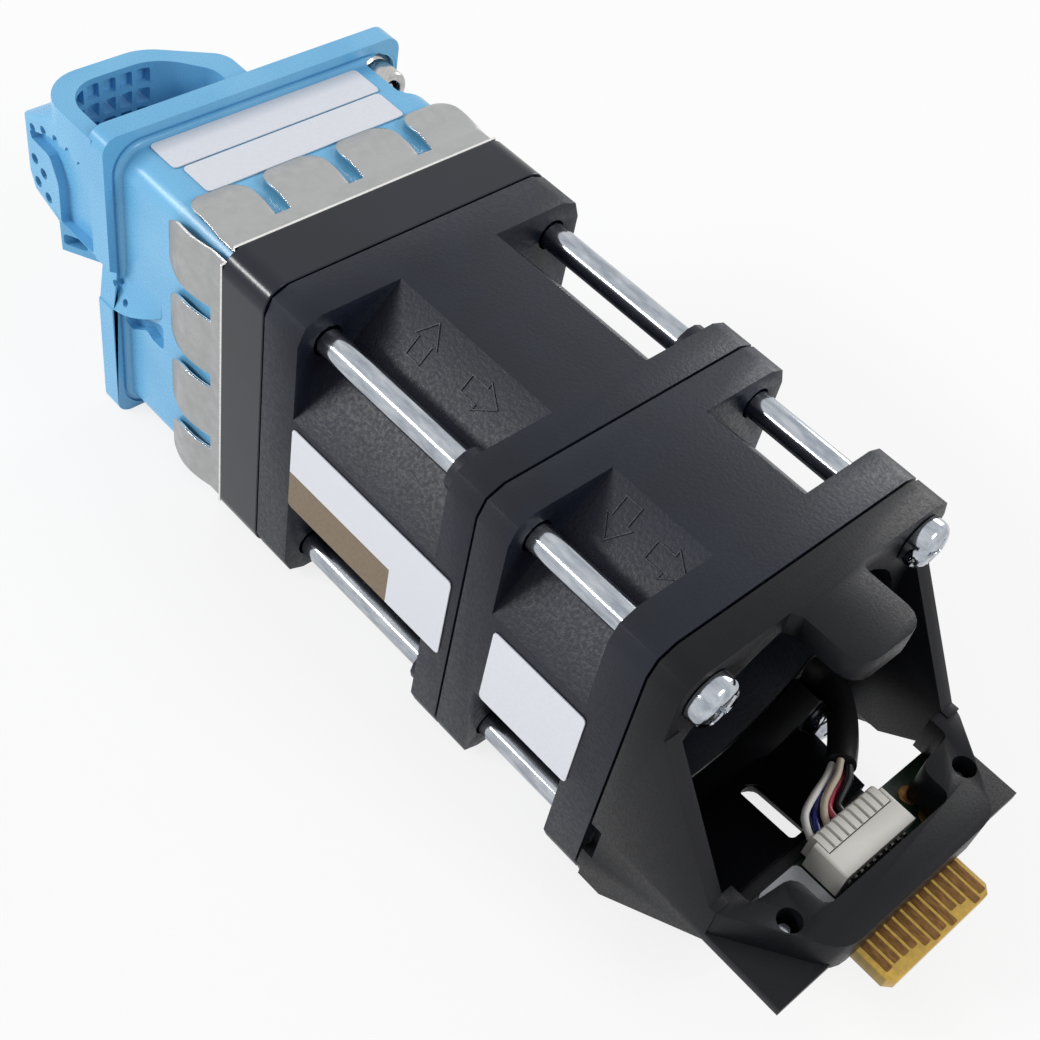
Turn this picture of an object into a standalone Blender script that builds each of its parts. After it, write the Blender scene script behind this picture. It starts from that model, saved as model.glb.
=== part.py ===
"""Plug-in fan module of a rack switch: grip housing, two fans, rear bracket and card edge.

Sizes are in millimetres and turned to metres when a mesh is made. The air runs along Y: the
grip is at -Y, the card edge at +Y, and Z is up. While the parts are drawn, X = Z = 0 is the
fans' axis and Y = 0 is the seam between the inlet collar and the first fan. An empty then
stands the module on Z = 0 with its middle over the origin.
"""
import math

import bmesh
import bpy
from mathutils import Vector

MM = 0.001
SMOOTH_ANGLE = math.radians(38.0)

# Clearances
SEAT_GAP = 0.3          # between two pieces that sit face to face
LABEL_GAP = 0.08        # glue line under a label

# Fans
FAN_SIZE = 40.0
FAN_CORNER_RADIUS = 3.0
SCREW_PITCH = 32.0
FAN_1_LENGTH = 33.0
FAN_2_LENGTH = 23.0
FAN_1_FRONT_FLANGE = 5.4
FAN_1_REAR_FLANGE = 4.1
FAN_2_FRONT_FLANGE = 4.3
FAN_2_REAR_FLANGE = 4.9
DUCT_RADIUS = 18.2
WAIST_CHAMFER = 13.3    # length cut off each side of the square between the flanges
BLADE_TIP_GAP = 0.45
HUB_RADIUS = 10.6
HUB_WALL = 0.9
HUB_CAP = 1.2
FAN_1_NOSE = 4.0        # hub's nose behind the open end of its frame
FAN_2_NOSE = 3.0
VANE_LENGTH = 5.0
VANE_THICKNESS = 1.3
MOTOR_BASE_RADIUS = 10.2
MOTOR_BASE_THICKNESS = 1.6
BEARING_TUBE_RADIUS = 3.2
BEARING_TUBE_WALL = 0.7
SHAFT_RADIUS = 1.0
BEARING_LENGTH = 2.4
YOKE_WALL = 0.7
MAGNET_THICKNESS = 1.2
STATOR_AIR_GAP = 0.35
FAN_BOARD_THICKNESS = 1.0

# Tie screws
TIE_RADIUS = 1.65
TIE_CLEARANCE = 0.3
TIE_HEAD_RADIUS = 2.9
TIE_HEAD_HEIGHT = 2.4
HEAD_POCKET_RADIUS = TIE_HEAD_RADIUS + 0.3
TIE_BITE = 8.0          # how far a screw reaches into the grip housing
ROD_BOSS_RADIUS = 2.7
ROD_BOSS_LENGTH = 1.8   # bosses before the rear flange of the first fan

# Inlet collar
COLLAR_LENGTH = 7.4

# Grip housing
HOUSING_HALF = 18.8
HOUSING_CORNER = 3.0
HOUSING_WALL = 1.7
HOUSING_LENGTH = 20.0   # from the collar to the back of the flange
FLANGE_HALF = 20.8
FLANGE_TOP = 20.9
FLANGE_THICKNESS = 2.8
FLANGE_CORNER = 2.0
GRILLE_THICKNESS = 1.8
GRILLE_PITCH = 3.9
GRILLE_HOLE = 3.1       # across the flats
GRILLE_HALF = 15.2
HOUSING_BOSS_RADIUS = 2.8

# Grip
GRIP_LEFT = -1.4        # end of the loop nearest the captive screw
GRIP_TOP = 19.7
GRIP_BOTTOM = -0.8
GRIP_RIM_DEPTH = 11.0   # how far the top rim stands before the flange
GRIP_BELLY_DEPTH = 13.9
GRIP_BELLY_TOP = 14.3
GRIP_BELLY_BOTTOM = 7.0
GRIP_FLOOR_TOP = 3.4
GRIP_WALL = 2.3
GRIP_CHEEK = 2.4
GRIP_SLANT = 5.6        # how much less deep the loop is at its left end
GRIP_HOLE_PITCH = 2.25
GRIP_HOLE = 1.5
GRIP_HOLE_ROWS = 6
GRIP_HOLE_COLUMNS = 5
CHEEK_WINDOW_TOP = 15.8

# Captive screw
CAPTIVE_X = -17.4
CAPTIVE_Z = 16.2
CAPTIVE_RADIUS = 1.05
CAPTIVE_HEAD_RADIUS = 2.2
CAPTIVE_HEAD_LENGTH = 1.8
CAPTIVE_POINT = 0.5     # the screw's end lies this far inside the ferrule at rest
FERRULE_RADIUS = 2.3
FERRULE_LIP_RADIUS = 3.1
FERRULE_LIP = 0.5
FERRULE_BACK = 3.1      # stands out of the flange's back
FERRULE_MOUTH = 1.25
FERRULE_CHAMBER = 1.75
FERRULE_END_WALL = 0.6
HEAD_RECESS_RADIUS = 2.45
HEAD_RECESS_DEPTH = 1.5
RING_THICKNESS = 0.5
RING_CLEARANCE = 0.1
GROOVE_DEPTH = 0.3
CORNER_SCOOP_RADIUS = 3.3
CORNER_SCOOP_LENGTH = 8.6

# Side scoop in the housing's right wall
SCOOP_TOP = 4.0
SCOOP_BOTTOM = -2.6
SCOOP_LENGTH = 8.8
SCOOP_DEPTH = 1.3

# Spring finger strips
STRIP_THICKNESS = 0.3
STRIP_BAND = 2.5
STRIP_HALF = 19.0
FINGER_PITCH = 10.0
FINGER_SLOT = 2.1
FINGER_RISE = 0.55
TOP_SLOT_SHIFT = 0.0    # middle slot's place across the strip
SIDE_SLOT_SHIFT = 0.7
TOP_FINGER_LENGTH = 6.4
SIDE_FINGER_LENGTH = 7.4

# Rear bracket
RING_LENGTH = 3.8
ARM_THICKNESS = 2.0
ARM_TOP_FRONT = 11.6
ARM_TOP_REAR = -3.8
ARM_BOTTOM_FRONT = -18.3
ARM_REAR = 71.0
LIP_LEFT = -4.4
LIP_RIGHT = 5.1
LIP_REACH = 8.4
LIP_THICKNESS = 3.0
SHELF_TOP = -4.0
SHELF_REAR = 82.8
SHELF_WINDOW_REAR = 78.4
SHELF_WINDOW_HALF = 10.4
SHELF_WINDOW_WIDE = 16.3
SHELF_BOSS_RADIUS = 3.6
BASE_TOP = -8.0
BASE_BOTTOM = -9.2
BASE_REAR = 82.2
BOARD_HOLE_X = 14.5
BOARD_HOLE_Y = 77.0
FLOOR_LEFT_FRONT = -14.5
FLOOR_LEFT_REAR = -6.8
NOTCH_DEPTH = 1.4       # lead notches in the bracket, at the second fan
NOTCH_LENGTH = 1.5
NOTCH_TOP = -8.6
NOTCH_BOTTOM = -13.8
FLOOR_THICKNESS = 1.2
FLOOR_SLOT_WIDTH = 3.0

# Card edge board and its connector
BOARD_THICKNESS = 1.6
BOARD_FRONT = 72.0
BOARD_HALF = 18.4
TONGUE_LEFT = -9.2
TONGUE_RIGHT = 8.2
TONGUE_REAR = 87.6
TONGUE_CHAMFER = 0.9
BOARD_SCREW_RADIUS = 1.1
BOARD_SCREW_HEAD = 2.2
BOARD_SCREW_HEAD_HEIGHT = 1.2
HEADER_LEFT = -6.1
HEADER_RIGHT = 5.4
HEADER_FRONT = 72.8
HEADER_REAR = 77.5
HEADER_TOP = -5.15
HEADER_WALL = 0.6
HEADER_ROOF_FRONT = 74.5    # the plug shows before this line
HEADER_BACK_WALL = 1.0
PLUG_GAP = 0.12
PLUG_FRONT = 71.9
WIRE_RADIUS = 0.42
SLEEVE_RADIUS = 1.7

# Labels
LABEL_THICKNESS = 0.12

# Stations along the air path, each worked out from the lengths above
HALF = FAN_SIZE / 2
SCREW_AT = SCREW_PITCH / 2
FAN_1_FRONT = 0.0
FAN_1_REAR = FAN_1_LENGTH - SEAT_GAP
FAN_2_FRONT = FAN_1_LENGTH
FAN_2_REAR = FAN_1_LENGTH + FAN_2_LENGTH - SEAT_GAP
RING_FRONT = FAN_2_REAR + SEAT_GAP
RING_REAR = RING_FRONT + RING_LENGTH
COLLAR_FRONT = -COLLAR_LENGTH
COLLAR_REAR = -SEAT_GAP
HOUSING_REAR = COLLAR_FRONT - SEAT_GAP
FLANGE_BACK = HOUSING_REAR - HOUSING_LENGTH
FLANGE_FRONT = FLANGE_BACK - FLANGE_THICKNESS
TIE_HOLE = TIE_RADIUS + TIE_CLEARANCE
BOARD_TOP = BASE_BOTTOM - SEAT_GAP
BOARD_BOTTOM = BOARD_TOP - BOARD_THICKNESS
GRIP_RIGHT = FLANGE_HALF
GRIP_FRONT = FLANGE_FRONT - GRIP_BELLY_DEPTH
CAPTIVE_TRAVEL = (FLANGE_THICKNESS + FERRULE_BACK - HEAD_RECESS_DEPTH - 2 * FERRULE_END_WALL
                  - RING_THICKNESS - 2 * RING_CLEARANCE)
MODULE_MIDDLE = (GRIP_FRONT + TONGUE_REAR) / 2


def clear_scene():
    """Remove every object that the start-up file holds."""
    for obj in list(bpy.data.objects):
        bpy.data.objects.remove(obj, do_unlink=True)


def material(name, color, roughness, metallic=0.0):
    """A Principled material with a plain colour."""
    mat = bpy.data.materials.new(name)
    mat.use_nodes = True
    shader = mat.node_tree.nodes["Principled BSDF"]
    shader.inputs["Base Color"].default_value = (*color, 1.0)
    shader.inputs["Roughness"].default_value = roughness
    shader.inputs["Metallic"].default_value = metallic
    mat.diffuse_color = (*color, 1.0)
    return mat


def make_materials():
    """All finishes of the module, by name."""
    return {
        "blue": material("blue_plastic", (0.190, 0.486, 0.760), 0.38),
        "black": material("black_plastic", (0.024, 0.026, 0.032), 0.55),
        "gloss_black": material("collar_plastic", (0.030, 0.032, 0.038), 0.28),
        "impeller": material("impeller_plastic", (0.020, 0.021, 0.024), 0.42),
        "steel": material("strip_steel", (0.47, 0.45, 0.42), 0.32, 1.0),
        "zinc": material("screw_zinc", (0.66, 0.68, 0.70), 0.22, 1.0),
        "yoke": material("yoke_steel", (0.35, 0.36, 0.38), 0.40, 1.0),
        "magnet": material("ring_magnet", (0.05, 0.05, 0.055), 0.60),
        "copper": material("stator_copper", (0.50, 0.22, 0.10), 0.40, 0.6),
        "board": material("fan_board", (0.05, 0.22, 0.10), 0.50),
        "card": material("card_edge", (0.50, 0.36, 0.055), 0.45),
        "ivory": material("connector_ivory", (0.76, 0.75, 0.70), 0.45),
        "paper": material("label_paper", (0.78, 0.79, 0.83), 0.50),
        "sleeve": material("cable_sleeve", (0.014, 0.014, 0.016), 0.60),
    }


class Builder:
    """Makes the module's objects and hangs them on the module's empty."""

    def __init__(self):
        self.finish = make_materials()
        self.root = bpy.data.objects.new("module", None)
        self.root.location = (0.0, -MODULE_MIDDLE * MM, HALF * MM)
        bpy.context.collection.objects.link(self.root)

    def place(self, name, mesh, finish, origin=(0.0, 0.0, 0.0)):
        """Link a mesh as an object whose origin is at a point of the module."""
        obj = bpy.data.objects.new(name, mesh)
        bpy.context.collection.objects.link(obj)
        obj.parent = self.root
        obj.location = Vector(origin) * MM
        if finish:
            mesh.materials.append(self.finish[finish])
        return obj

    def solid(self, name, verts, faces, finish, origin=(0.0, 0.0, 0.0)):
        """An object from points in module millimetres, with its faces turned outwards."""
        bm = bmesh.new()
        offset = Vector(origin)
        points = [bm.verts.new((Vector(v) - offset) * MM) for v in verts]
        for face in faces:
            bm.faces.new([points[i] for i in face])
        bmesh.ops.recalc_face_normals(bm, faces=bm.faces)
        mesh = bpy.data.meshes.new(name)
        bm.to_mesh(mesh)
        bm.free()
        return self.place(name, mesh, finish, origin)

    def tool(self, obj, target, operation):
        """Use an object as a hidden Boolean operand of another."""
        obj.hide_render = True
        obj.display_type = "WIRE"
        step = target.modifiers.new(obj.name, "BOOLEAN")
        step.solver = "EXACT"
        step.operation = operation
        step.object = obj


def on_axis(axis, a, b, along):
    """A point from two plane coordinates and the coordinate along an axis."""
    if axis == "X":
        return (along, a, b)
    if axis == "Y":
        return (a, along, b)
    return (a, b, along)


def prism(outline, axis, low, high):
    """Points and faces of an outline pushed along an axis."""
    count = len(outline)
    verts = [on_axis(axis, a, b, low) for a, b in outline]
    verts += [on_axis(axis, a, b, high) for a, b in outline]
    faces = [tuple(range(count)), tuple(range(2 * count - 1, count - 1, -1))]
    for i in range(count):
        j = (i + 1) % count
        faces.append((i, j, count + j, count + i))
    return verts, faces


def merged(shapes):
    """Several point and face lists as one."""
    verts, faces = [], []
    for shape_verts, shape_faces in shapes:
        start = len(verts)
        verts += shape_verts
        faces += [tuple(start + i for i in face) for face in shape_faces]
    return verts, faces


def loft(rings, closed=False, folded=False):
    """Skin rings of equal length. A closed loft joins the last ring to the first.

    A folded ring runs out and back along a thin shape, so its ends are closed by a strip.
    """
    count = len(rings[0])
    verts = [point for ring in rings for point in ring]
    faces = []
    pairs = len(rings) if closed else len(rings) - 1
    for k in range(pairs):
        a = k * count
        b = (k + 1) % len(rings) * count
        for i in range(count):
            j = (i + 1) % count
            faces.append((a + i, a + j, b + j, b + i))
    if closed:
        return verts, faces
    for first in (0, len(verts) - count):
        if folded:
            faces += [(first + i, first + i + 1, first + count - 2 - i, first + count - 1 - i)
                      for i in range(count // 2 - 1)]
        else:
            faces.append(tuple(range(first, first + count)))
    return verts, faces


def revolve(profile, steps, centre=(0.0, 0.0)):
    """Turn a profile of (radius, y) points about a line along Y.

    A profile that starts and ends on the axis makes a solid with two poles. Any other profile
    is a closed outline and makes a ring.
    """
    cx, cz = centre
    on_line = profile[0][0] == 0.0
    body = profile[1:-1] if on_line else profile
    rings = []
    for radius, y in body:
        ring = []
        for i in range(steps):
            turn = 2 * math.pi * i / steps
            ring.append((cx + radius * math.cos(turn), y, cz + radius * math.sin(turn)))
        rings.append(ring)
    verts, faces = loft(rings, closed=not on_line)
    if on_line:
        faces = faces[:-2]
        for pole, first in ((profile[0], 0), (profile[-1], (len(body) - 1) * steps)):
            tip = len(verts)
            verts.append((cx, pole[1], cz))
            faces += [(first + i, first + (i + 1) % steps, tip) for i in range(steps)]
    return verts, faces


def ring_profile(inner, outer, y_a, y_b):
    """Closed profile of a plain ring."""
    return [(inner, y_a), (outer, y_a), (outer, y_b), (inner, y_b)]


def rounded_box(left, right, low, high, radius, steps=4):
    """Outline of a rectangle with round corners."""
    points = []
    corners = [
        (right - radius, high - radius, 0.0),
        (left + radius, high - radius, 90.0),
        (left + radius, low + radius, 180.0),
        (right - radius, low + radius, 270.0),
    ]
    for cx, cy, start in corners:
        for i in range(steps + 1):
            turn = math.radians(start + 90.0 * i / steps)
            points.append((cx + radius * math.cos(turn), cy + radius * math.sin(turn)))
    return points


def rounded(points, radii, steps=4):
    """Replace each corner of an outline by an arc of the matching radius."""
    result = []
    count = len(points)
    for i, radius in enumerate(radii):
        here = Vector(points[i])
        if radius <= 0.0:
            result.append(tuple(here))
            continue
        back = (Vector(points[i - 1]) - here).normalized()
        ahead = (Vector(points[(i + 1) % count]) - here).normalized()
        half = back.angle(ahead) / 2
        reach = radius / math.tan(half)
        centre = here + (back + ahead).normalized() * (radius / math.sin(half))
        start = here + back * reach - centre
        sweep = start.angle_signed(here + ahead * reach - centre)
        for k in range(steps + 1):
            turn = -sweep * k / steps
            cos_t, sin_t = math.cos(turn), math.sin(turn)
            spoke = Vector((start.x * cos_t - start.y * sin_t, start.x * sin_t + start.y * cos_t))
            result.append(tuple(centre + spoke))
    return result


def hexagon(across, cx, cy):
    """Outline of a hexagon with two level sides."""
    radius = across / math.sqrt(3.0)
    turns = [math.radians(60.0 * i) for i in range(6)]
    return [(cx + radius * math.cos(t), cy + radius * math.sin(t)) for t in turns]


def four_corners(at=SCREW_AT):
    """The four tie screw places as (x, z), top right first and anticlockwise from the rear."""
    return [(at, at), (-at, at), (-at, -at), (at, -at)]


def add_tie_holes(build, target, low, high, radius):
    """Cut the four tie screw holes through a piece."""
    drills = [revolve([(0.0, low), (radius, low), (radius, high), (0.0, high)], 12, spot)
              for spot in four_corners()]
    cutter = build.solid(target.name + "_drills", *merged(drills), None)
    build.tool(cutter, target, "DIFFERENCE")


def flange_outline():
    """Square outline with round corners, in ten points a quarter."""
    straight = HALF - FAN_CORNER_RADIUS
    bevel = FAN_CORNER_RADIUS * (1 - math.sqrt(0.5))
    open_side = HALF - WAIST_CHAMFER
    quarter = [
        (HALF, 0.0), (HALF, open_side / 2), (HALF, open_side),
        (HALF, (open_side + straight) / 2), (HALF, straight),
        (HALF - bevel, HALF - bevel), (straight, HALF),
        ((open_side + straight) / 2, HALF), (open_side, HALF), (open_side / 2, HALF),
    ]
    return four_quarters(quarter)


def waist_outline():
    """Outline between the flanges: the square with its corners cut away for the screws."""
    open_side = HALF - WAIST_CHAMFER
    cut = [(HALF - WAIST_CHAMFER * k / 6, open_side + WAIST_CHAMFER * k / 6) for k in range(1, 6)]
    quarter = [(HALF, 0.0), (HALF, open_side / 2), (HALF, open_side), *cut,
               (open_side, HALF), (open_side / 2, HALF)]
    return four_quarters(quarter)


def four_quarters(quarter):
    """Repeat a quarter outline four times round the axis."""
    points = list(quarter)
    for turn in range(1, 4):
        cos_t, sin_t = (0, -1, 0)[turn - 1], (1, 0, -1)[turn - 1]
        points += [(x * cos_t - z * sin_t, x * sin_t + z * cos_t) for x, z in quarter]
    return points


def circle_like(outline, radius):
    """A circle whose points lie on the same rays as an outline's points."""
    return [(radius * x / math.hypot(x, z), radius * z / math.hypot(x, z)) for x, z in outline]


def at_station(outline, y):
    """An (x, z) outline as points at one place along Y."""
    return [(x, y, z) for x, z in outline]


class Fan:
    """One axial fan whose motor hangs on vanes at one end of its frame.

    Places inside the fan are given as a distance from the vane end towards the open end.
    """

    def __init__(self, name, vane_end, toward, length, flanges, nose, blades, vanes, bossed):
        self.name = name
        self.vane_end = vane_end
        self.toward = toward
        self.length = length
        self.flanges = flanges
        self.cap = length - nose
        self.blades = blades
        self.vanes = vanes
        self.bossed = bossed
        self.base = VANE_LENGTH
        self.board = self.base + SEAT_GAP
        self.open_rim = self.board + FAN_BOARD_THICKNESS + SEAT_GAP
        self.yoke_cap = self.cap - HUB_CAP - SEAT_GAP
        self.tube_top = self.yoke_cap - YOKE_WALL - 1.2

    def y(self, distance):
        """World place along Y of a distance from the vane end."""
        return self.vane_end + self.toward * distance

    def span(self, profile):
        """A profile of (radius, distance) points in world places."""
        return [(radius, self.y(distance)) for radius, distance in profile]

    def frame(self, build):
        """Square frame with its duct, motor base, bearing tube and guide vanes."""
        vane_flange, open_flange = self.flanges
        outer, waist = flange_outline(), waist_outline()
        bore = circle_like(outer, DUCT_RADIUS)
        stations = [
            (outer, 0.0), (outer, vane_flange), (waist, vane_flange),
            (waist, self.length - open_flange), (outer, self.length - open_flange),
            (outer, self.length), (bore, self.length), (bore, 0.0),
        ]
        rings = [at_station(outline, self.y(place)) for outline, place in stations]
        frame = build.solid(self.name + "_frame", *loft(rings, closed=True), "black")
        if self.bossed:
            ends = sorted((self.y(vane_flange - 0.4), self.y(vane_flange + ROD_BOSS_LENGTH)))
            profile = [(0.0, ends[0]), (ROD_BOSS_RADIUS, ends[0]), (ROD_BOSS_RADIUS, ends[1]), (0.0, ends[1])]
            shapes = [revolve(profile, 14, spot) for spot in four_corners()]
            bosses = build.solid(self.name + "_bosses", *merged(shapes), None)
            build.tool(bosses, frame, "UNION")
        low, high = sorted((self.y(-1.0), self.y(self.length + 1.0)))
        add_tie_holes(build, frame, low, high, TIE_HOLE)
        base_low = self.base - MOTOR_BASE_THICKNESS
        tube_bore = BEARING_TUBE_RADIUS - BEARING_TUBE_WALL
        base = [
            (tube_bore, base_low), (MOTOR_BASE_RADIUS, base_low), (MOTOR_BASE_RADIUS, self.base),
            (BEARING_TUBE_RADIUS, self.base), (BEARING_TUBE_RADIUS, self.tube_top),
            (tube_bore, self.tube_top),
        ]
        seat = build.solid(self.name + "_seat", *revolve(self.span(base), 24), None)
        vanes = build.solid(self.name + "_vanes", *merged(self.vane_shapes()), None)
        build.tool(vanes, frame, "UNION")
        build.tool(seat, frame, "UNION")
        return frame

    def vane_shapes(self):
        """Leaning guide vanes from the motor base to the duct wall."""
        shapes = []
        inner, outer = MOTOR_BASE_RADIUS - 1.0, DUCT_RADIUS + 0.6
        for k in range(self.vanes):
            middle = 2 * math.pi * (k + 0.5) / self.vanes
            rings = []
            for radius in (inner, outer):
                ring = []
                for side, place in ((-1, 0.5), (1, 0.5), (1, VANE_LENGTH - 0.4), (-1, VANE_LENGTH - 0.4)):
                    lean = 0.16 * (place / VANE_LENGTH - 0.5)
                    angle = middle + lean + side * VANE_THICKNESS / 2 / radius
                    ring.append((radius * math.cos(angle), self.y(place), radius * math.sin(angle)))
                rings.append(ring)
            shapes.append(loft(rings))
        return shapes

    def impeller(self, build):
        """Hub cup with swept blades, turning about the fans' axis."""
        inside = HUB_RADIUS - HUB_WALL
        edge = 1.4
        profile = [
            (0.0, self.cap), (HUB_RADIUS - edge, self.cap), (HUB_RADIUS - 0.4, self.cap - 0.4),
            (HUB_RADIUS, self.cap - edge), (HUB_RADIUS, self.open_rim), (inside, self.open_rim),
            (inside, self.cap - HUB_CAP), (0.0, self.cap - HUB_CAP),
        ]
        hub = build.solid(self.name + "_impeller", *revolve(self.span(profile), 28), "impeller")
        blades = build.solid(self.name + "_blades", *merged(self.blade_shapes()), None)
        build.tool(blades, hub, "UNION")
        return hub

    def blade_shapes(self):
        """Blades with camber: each leans round the hub from its leading to its trailing edge."""
        steps, levels = 6, 3
        root, tip = HUB_RADIUS - 0.45, DUCT_RADIUS - BLADE_TIP_GAP
        first, last = self.open_rim + 0.8, self.cap - 1.0
        shapes = []
        for k in range(self.blades):
            start = 2 * math.pi * k / self.blades
            rings = []
            for level in range(levels):
                share = level / (levels - 1)
                radius = root + (tip - root) * share
                sweep = (1.16 - 0.30 * share)
                shrink = 0.9 * share
                near, far = [], []
                for i in range(steps + 1):
                    t = i / steps
                    place = first + shrink + (last - first - 2 * shrink) * t
                    turn = start + sweep * (t ** 1.35) + 0.12 * share
                    half = (0.16 + 0.42 * math.sin(math.pi * t) ** 0.7) / radius
                    for side, line in ((-1, near), (1, far)):
                        angle = turn + side * half
                        line.append((radius * math.cos(angle), self.y(place),
                                     radius * math.sin(angle)))
                rings.append(near + far[::-1])
            shapes.append(loft(rings, folded=True))
        return shapes

    def motor(self, build):
        """Everything inside the hub: yoke, magnet, shaft, bearings, stator and board."""
        yoke_outer = HUB_RADIUS - HUB_WALL - SEAT_GAP
        yoke_inner = yoke_outer - YOKE_WALL
        rim = self.open_rim + 0.6
        eye = SHAFT_RADIUS + 0.05
        yoke = [
            (eye, self.yoke_cap), (yoke_outer, self.yoke_cap), (yoke_outer, rim),
            (yoke_inner, rim), (yoke_inner, self.yoke_cap - YOKE_WALL), (eye, self.yoke_cap - YOKE_WALL),
        ]
        build.solid(self.name + "_rotor_yoke", *revolve(self.span(yoke), 24), "yoke")
        magnet_outer = yoke_inner - SEAT_GAP / 2
        magnet_inner = magnet_outer - MAGNET_THICKNESS
        magnet_top = self.yoke_cap - YOKE_WALL - SEAT_GAP
        magnet = ring_profile(magnet_inner, magnet_outer, rim + 0.4, magnet_top)
        build.solid(self.name + "_magnet", *revolve(self.span(magnet), 24), "magnet")
        shaft_low = self.base - MOTOR_BASE_THICKNESS + 0.5
        shaft = [(0.0, shaft_low), (SHAFT_RADIUS, shaft_low), (SHAFT_RADIUS, self.yoke_cap),
                 (0.0, self.yoke_cap)]
        build.solid(self.name + "_shaft", *revolve(self.span(shaft), 14), "zinc")
        bearing_outer = BEARING_TUBE_RADIUS - BEARING_TUBE_WALL - 0.1
        bearing_inner = SHAFT_RADIUS + 0.08
        for label, low in (("inner", self.base + 0.2), ("outer", self.tube_top - BEARING_LENGTH - 0.2)):
            ring = ring_profile(bearing_inner, bearing_outer, low, low + BEARING_LENGTH)
            build.solid(self.name + "_bearing_" + label, *revolve(self.span(ring), 14), "yoke")
        self.stator(build, magnet_inner - STATOR_AIR_GAP, magnet_top - 0.8)
        board = ring_profile(BEARING_TUBE_RADIUS + SEAT_GAP, MOTOR_BASE_RADIUS - 0.6,
                             self.board, self.board + FAN_BOARD_THICKNESS)
        build.solid(self.name + "_board", *revolve(self.span(board), 20), "board")

    def stator(self, build, reach, top):
        """Wound core with four pole pieces on the bearing tube."""
        low = self.board + FAN_BOARD_THICKNESS + 0.8
        inner = BEARING_TUBE_RADIUS + 0.15
        neck = (inner + reach) / 2 + 0.4
        outline = []
        for pole in range(4):
            for offset, radius in ((-38, reach), (-19, reach), (0, reach), (19, reach), (38, reach),
                                   (42, neck), (48, neck)):
                turn = math.radians(90 * pole + offset)
                outline.append((radius * math.cos(turn), radius * math.sin(turn)))
        bore = circle_like(outline, inner)
        rings = [at_station(outline, self.y(low)), at_station(outline, self.y(top)),
                 at_station(bore, self.y(top)), at_station(bore, self.y(low))]
        build.solid(self.name + "_stator", *loft(rings, closed=True), "copper")


def make_fans(build):
    """The two fans back to back, turning opposite ways."""
    first = Fan("fan_1", FAN_1_REAR, -1, FAN_1_REAR - FAN_1_FRONT,
                (FAN_1_REAR_FLANGE, FAN_1_FRONT_FLANGE), FAN_1_NOSE, 5, 7, True)
    second = Fan("fan_2", FAN_2_FRONT, 1, FAN_2_REAR - FAN_2_FRONT,
                 (FAN_2_FRONT_FLANGE, FAN_2_REAR_FLANGE), FAN_2_NOSE, 5, 6, False)
    for fan in (first, second):
        fan.frame(build)
        fan.impeller(build)
        fan.motor(build)


def make_tie_screws(build):
    """Four long screws from the bracket through both fans into the grip housing."""
    seat = RING_REAR + 0.1
    tip = HOUSING_REAR - TIE_BITE
    top = seat + TIE_HEAD_HEIGHT
    profile = [
        (0.0, tip), (TIE_RADIUS * 0.6, tip), (TIE_RADIUS, tip + 0.8), (TIE_RADIUS, seat),
        (TIE_HEAD_RADIUS, seat), (TIE_HEAD_RADIUS, seat + 1.1), (TIE_HEAD_RADIUS * 0.88, top - 0.5),
        (TIE_HEAD_RADIUS * 0.5, top), (0.0, top),
    ]
    for number, spot in enumerate(four_corners(), start=1):
        build.solid("tie_screw_%d" % number, *revolve(profile, 12, spot), "zinc",
                    (spot[0], seat, spot[1]))


def make_collar(build):
    """Smooth black ring between the grip housing and the first fan."""
    outer = flange_outline()
    bore = circle_like(outer, DUCT_RADIUS)
    mouth = circle_like(outer, DUCT_RADIUS + 0.7)
    rings = [at_station(outer, COLLAR_FRONT), at_station(outer, COLLAR_REAR),
             at_station(bore, COLLAR_REAR), at_station(bore, COLLAR_FRONT + 1.2),
             at_station(mouth, COLLAR_FRONT)]
    collar = build.solid("inlet_collar", *loft(rings, closed=True), "gloss_black")
    add_tie_holes(build, collar, COLLAR_FRONT - 1, COLLAR_REAR + 1, TIE_HOLE)


def grip_plan(inset, corner):
    """Plan outline (x, y) of the loop, drawn in from its outer skin by a wall.

    The corner is the radius between the bow and the cheek on the right.
    """
    back = FLANGE_FRONT + 0.6
    front = FLANGE_FRONT - GRIP_RIM_DEPTH
    left, right = GRIP_LEFT + 1.3 * inset, GRIP_RIGHT - inset * GRIP_CHEEK / GRIP_WALL
    bend = 6.6 - inset * 0.2
    points = [(right, back), (right, front + inset), (bend, front + inset),
              (left, front + GRIP_SLANT + inset * 0.8), (left, back)]
    return rounded(points, [0.0, max(corner, 0.3), 5.0, 2.0, 0.0], 3)


def grip_section(levels, inset):
    """Rings of the loop from (height, forward swell, corner radius) levels, top first."""
    bulge = GRIP_BELLY_DEPTH - GRIP_RIM_DEPTH
    rings = []
    for height, swell, corner in levels:
        ring = []
        for x, y in grip_plan(inset, corner - inset * 0.5):
            depth = max(0.0, FLANGE_FRONT - y) / GRIP_RIM_DEPTH
            y -= swell * bulge * depth
            ring.append((x, min(y, FLANGE_FRONT) if inset else y, height))
        rings.append(ring)
    return rings


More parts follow.
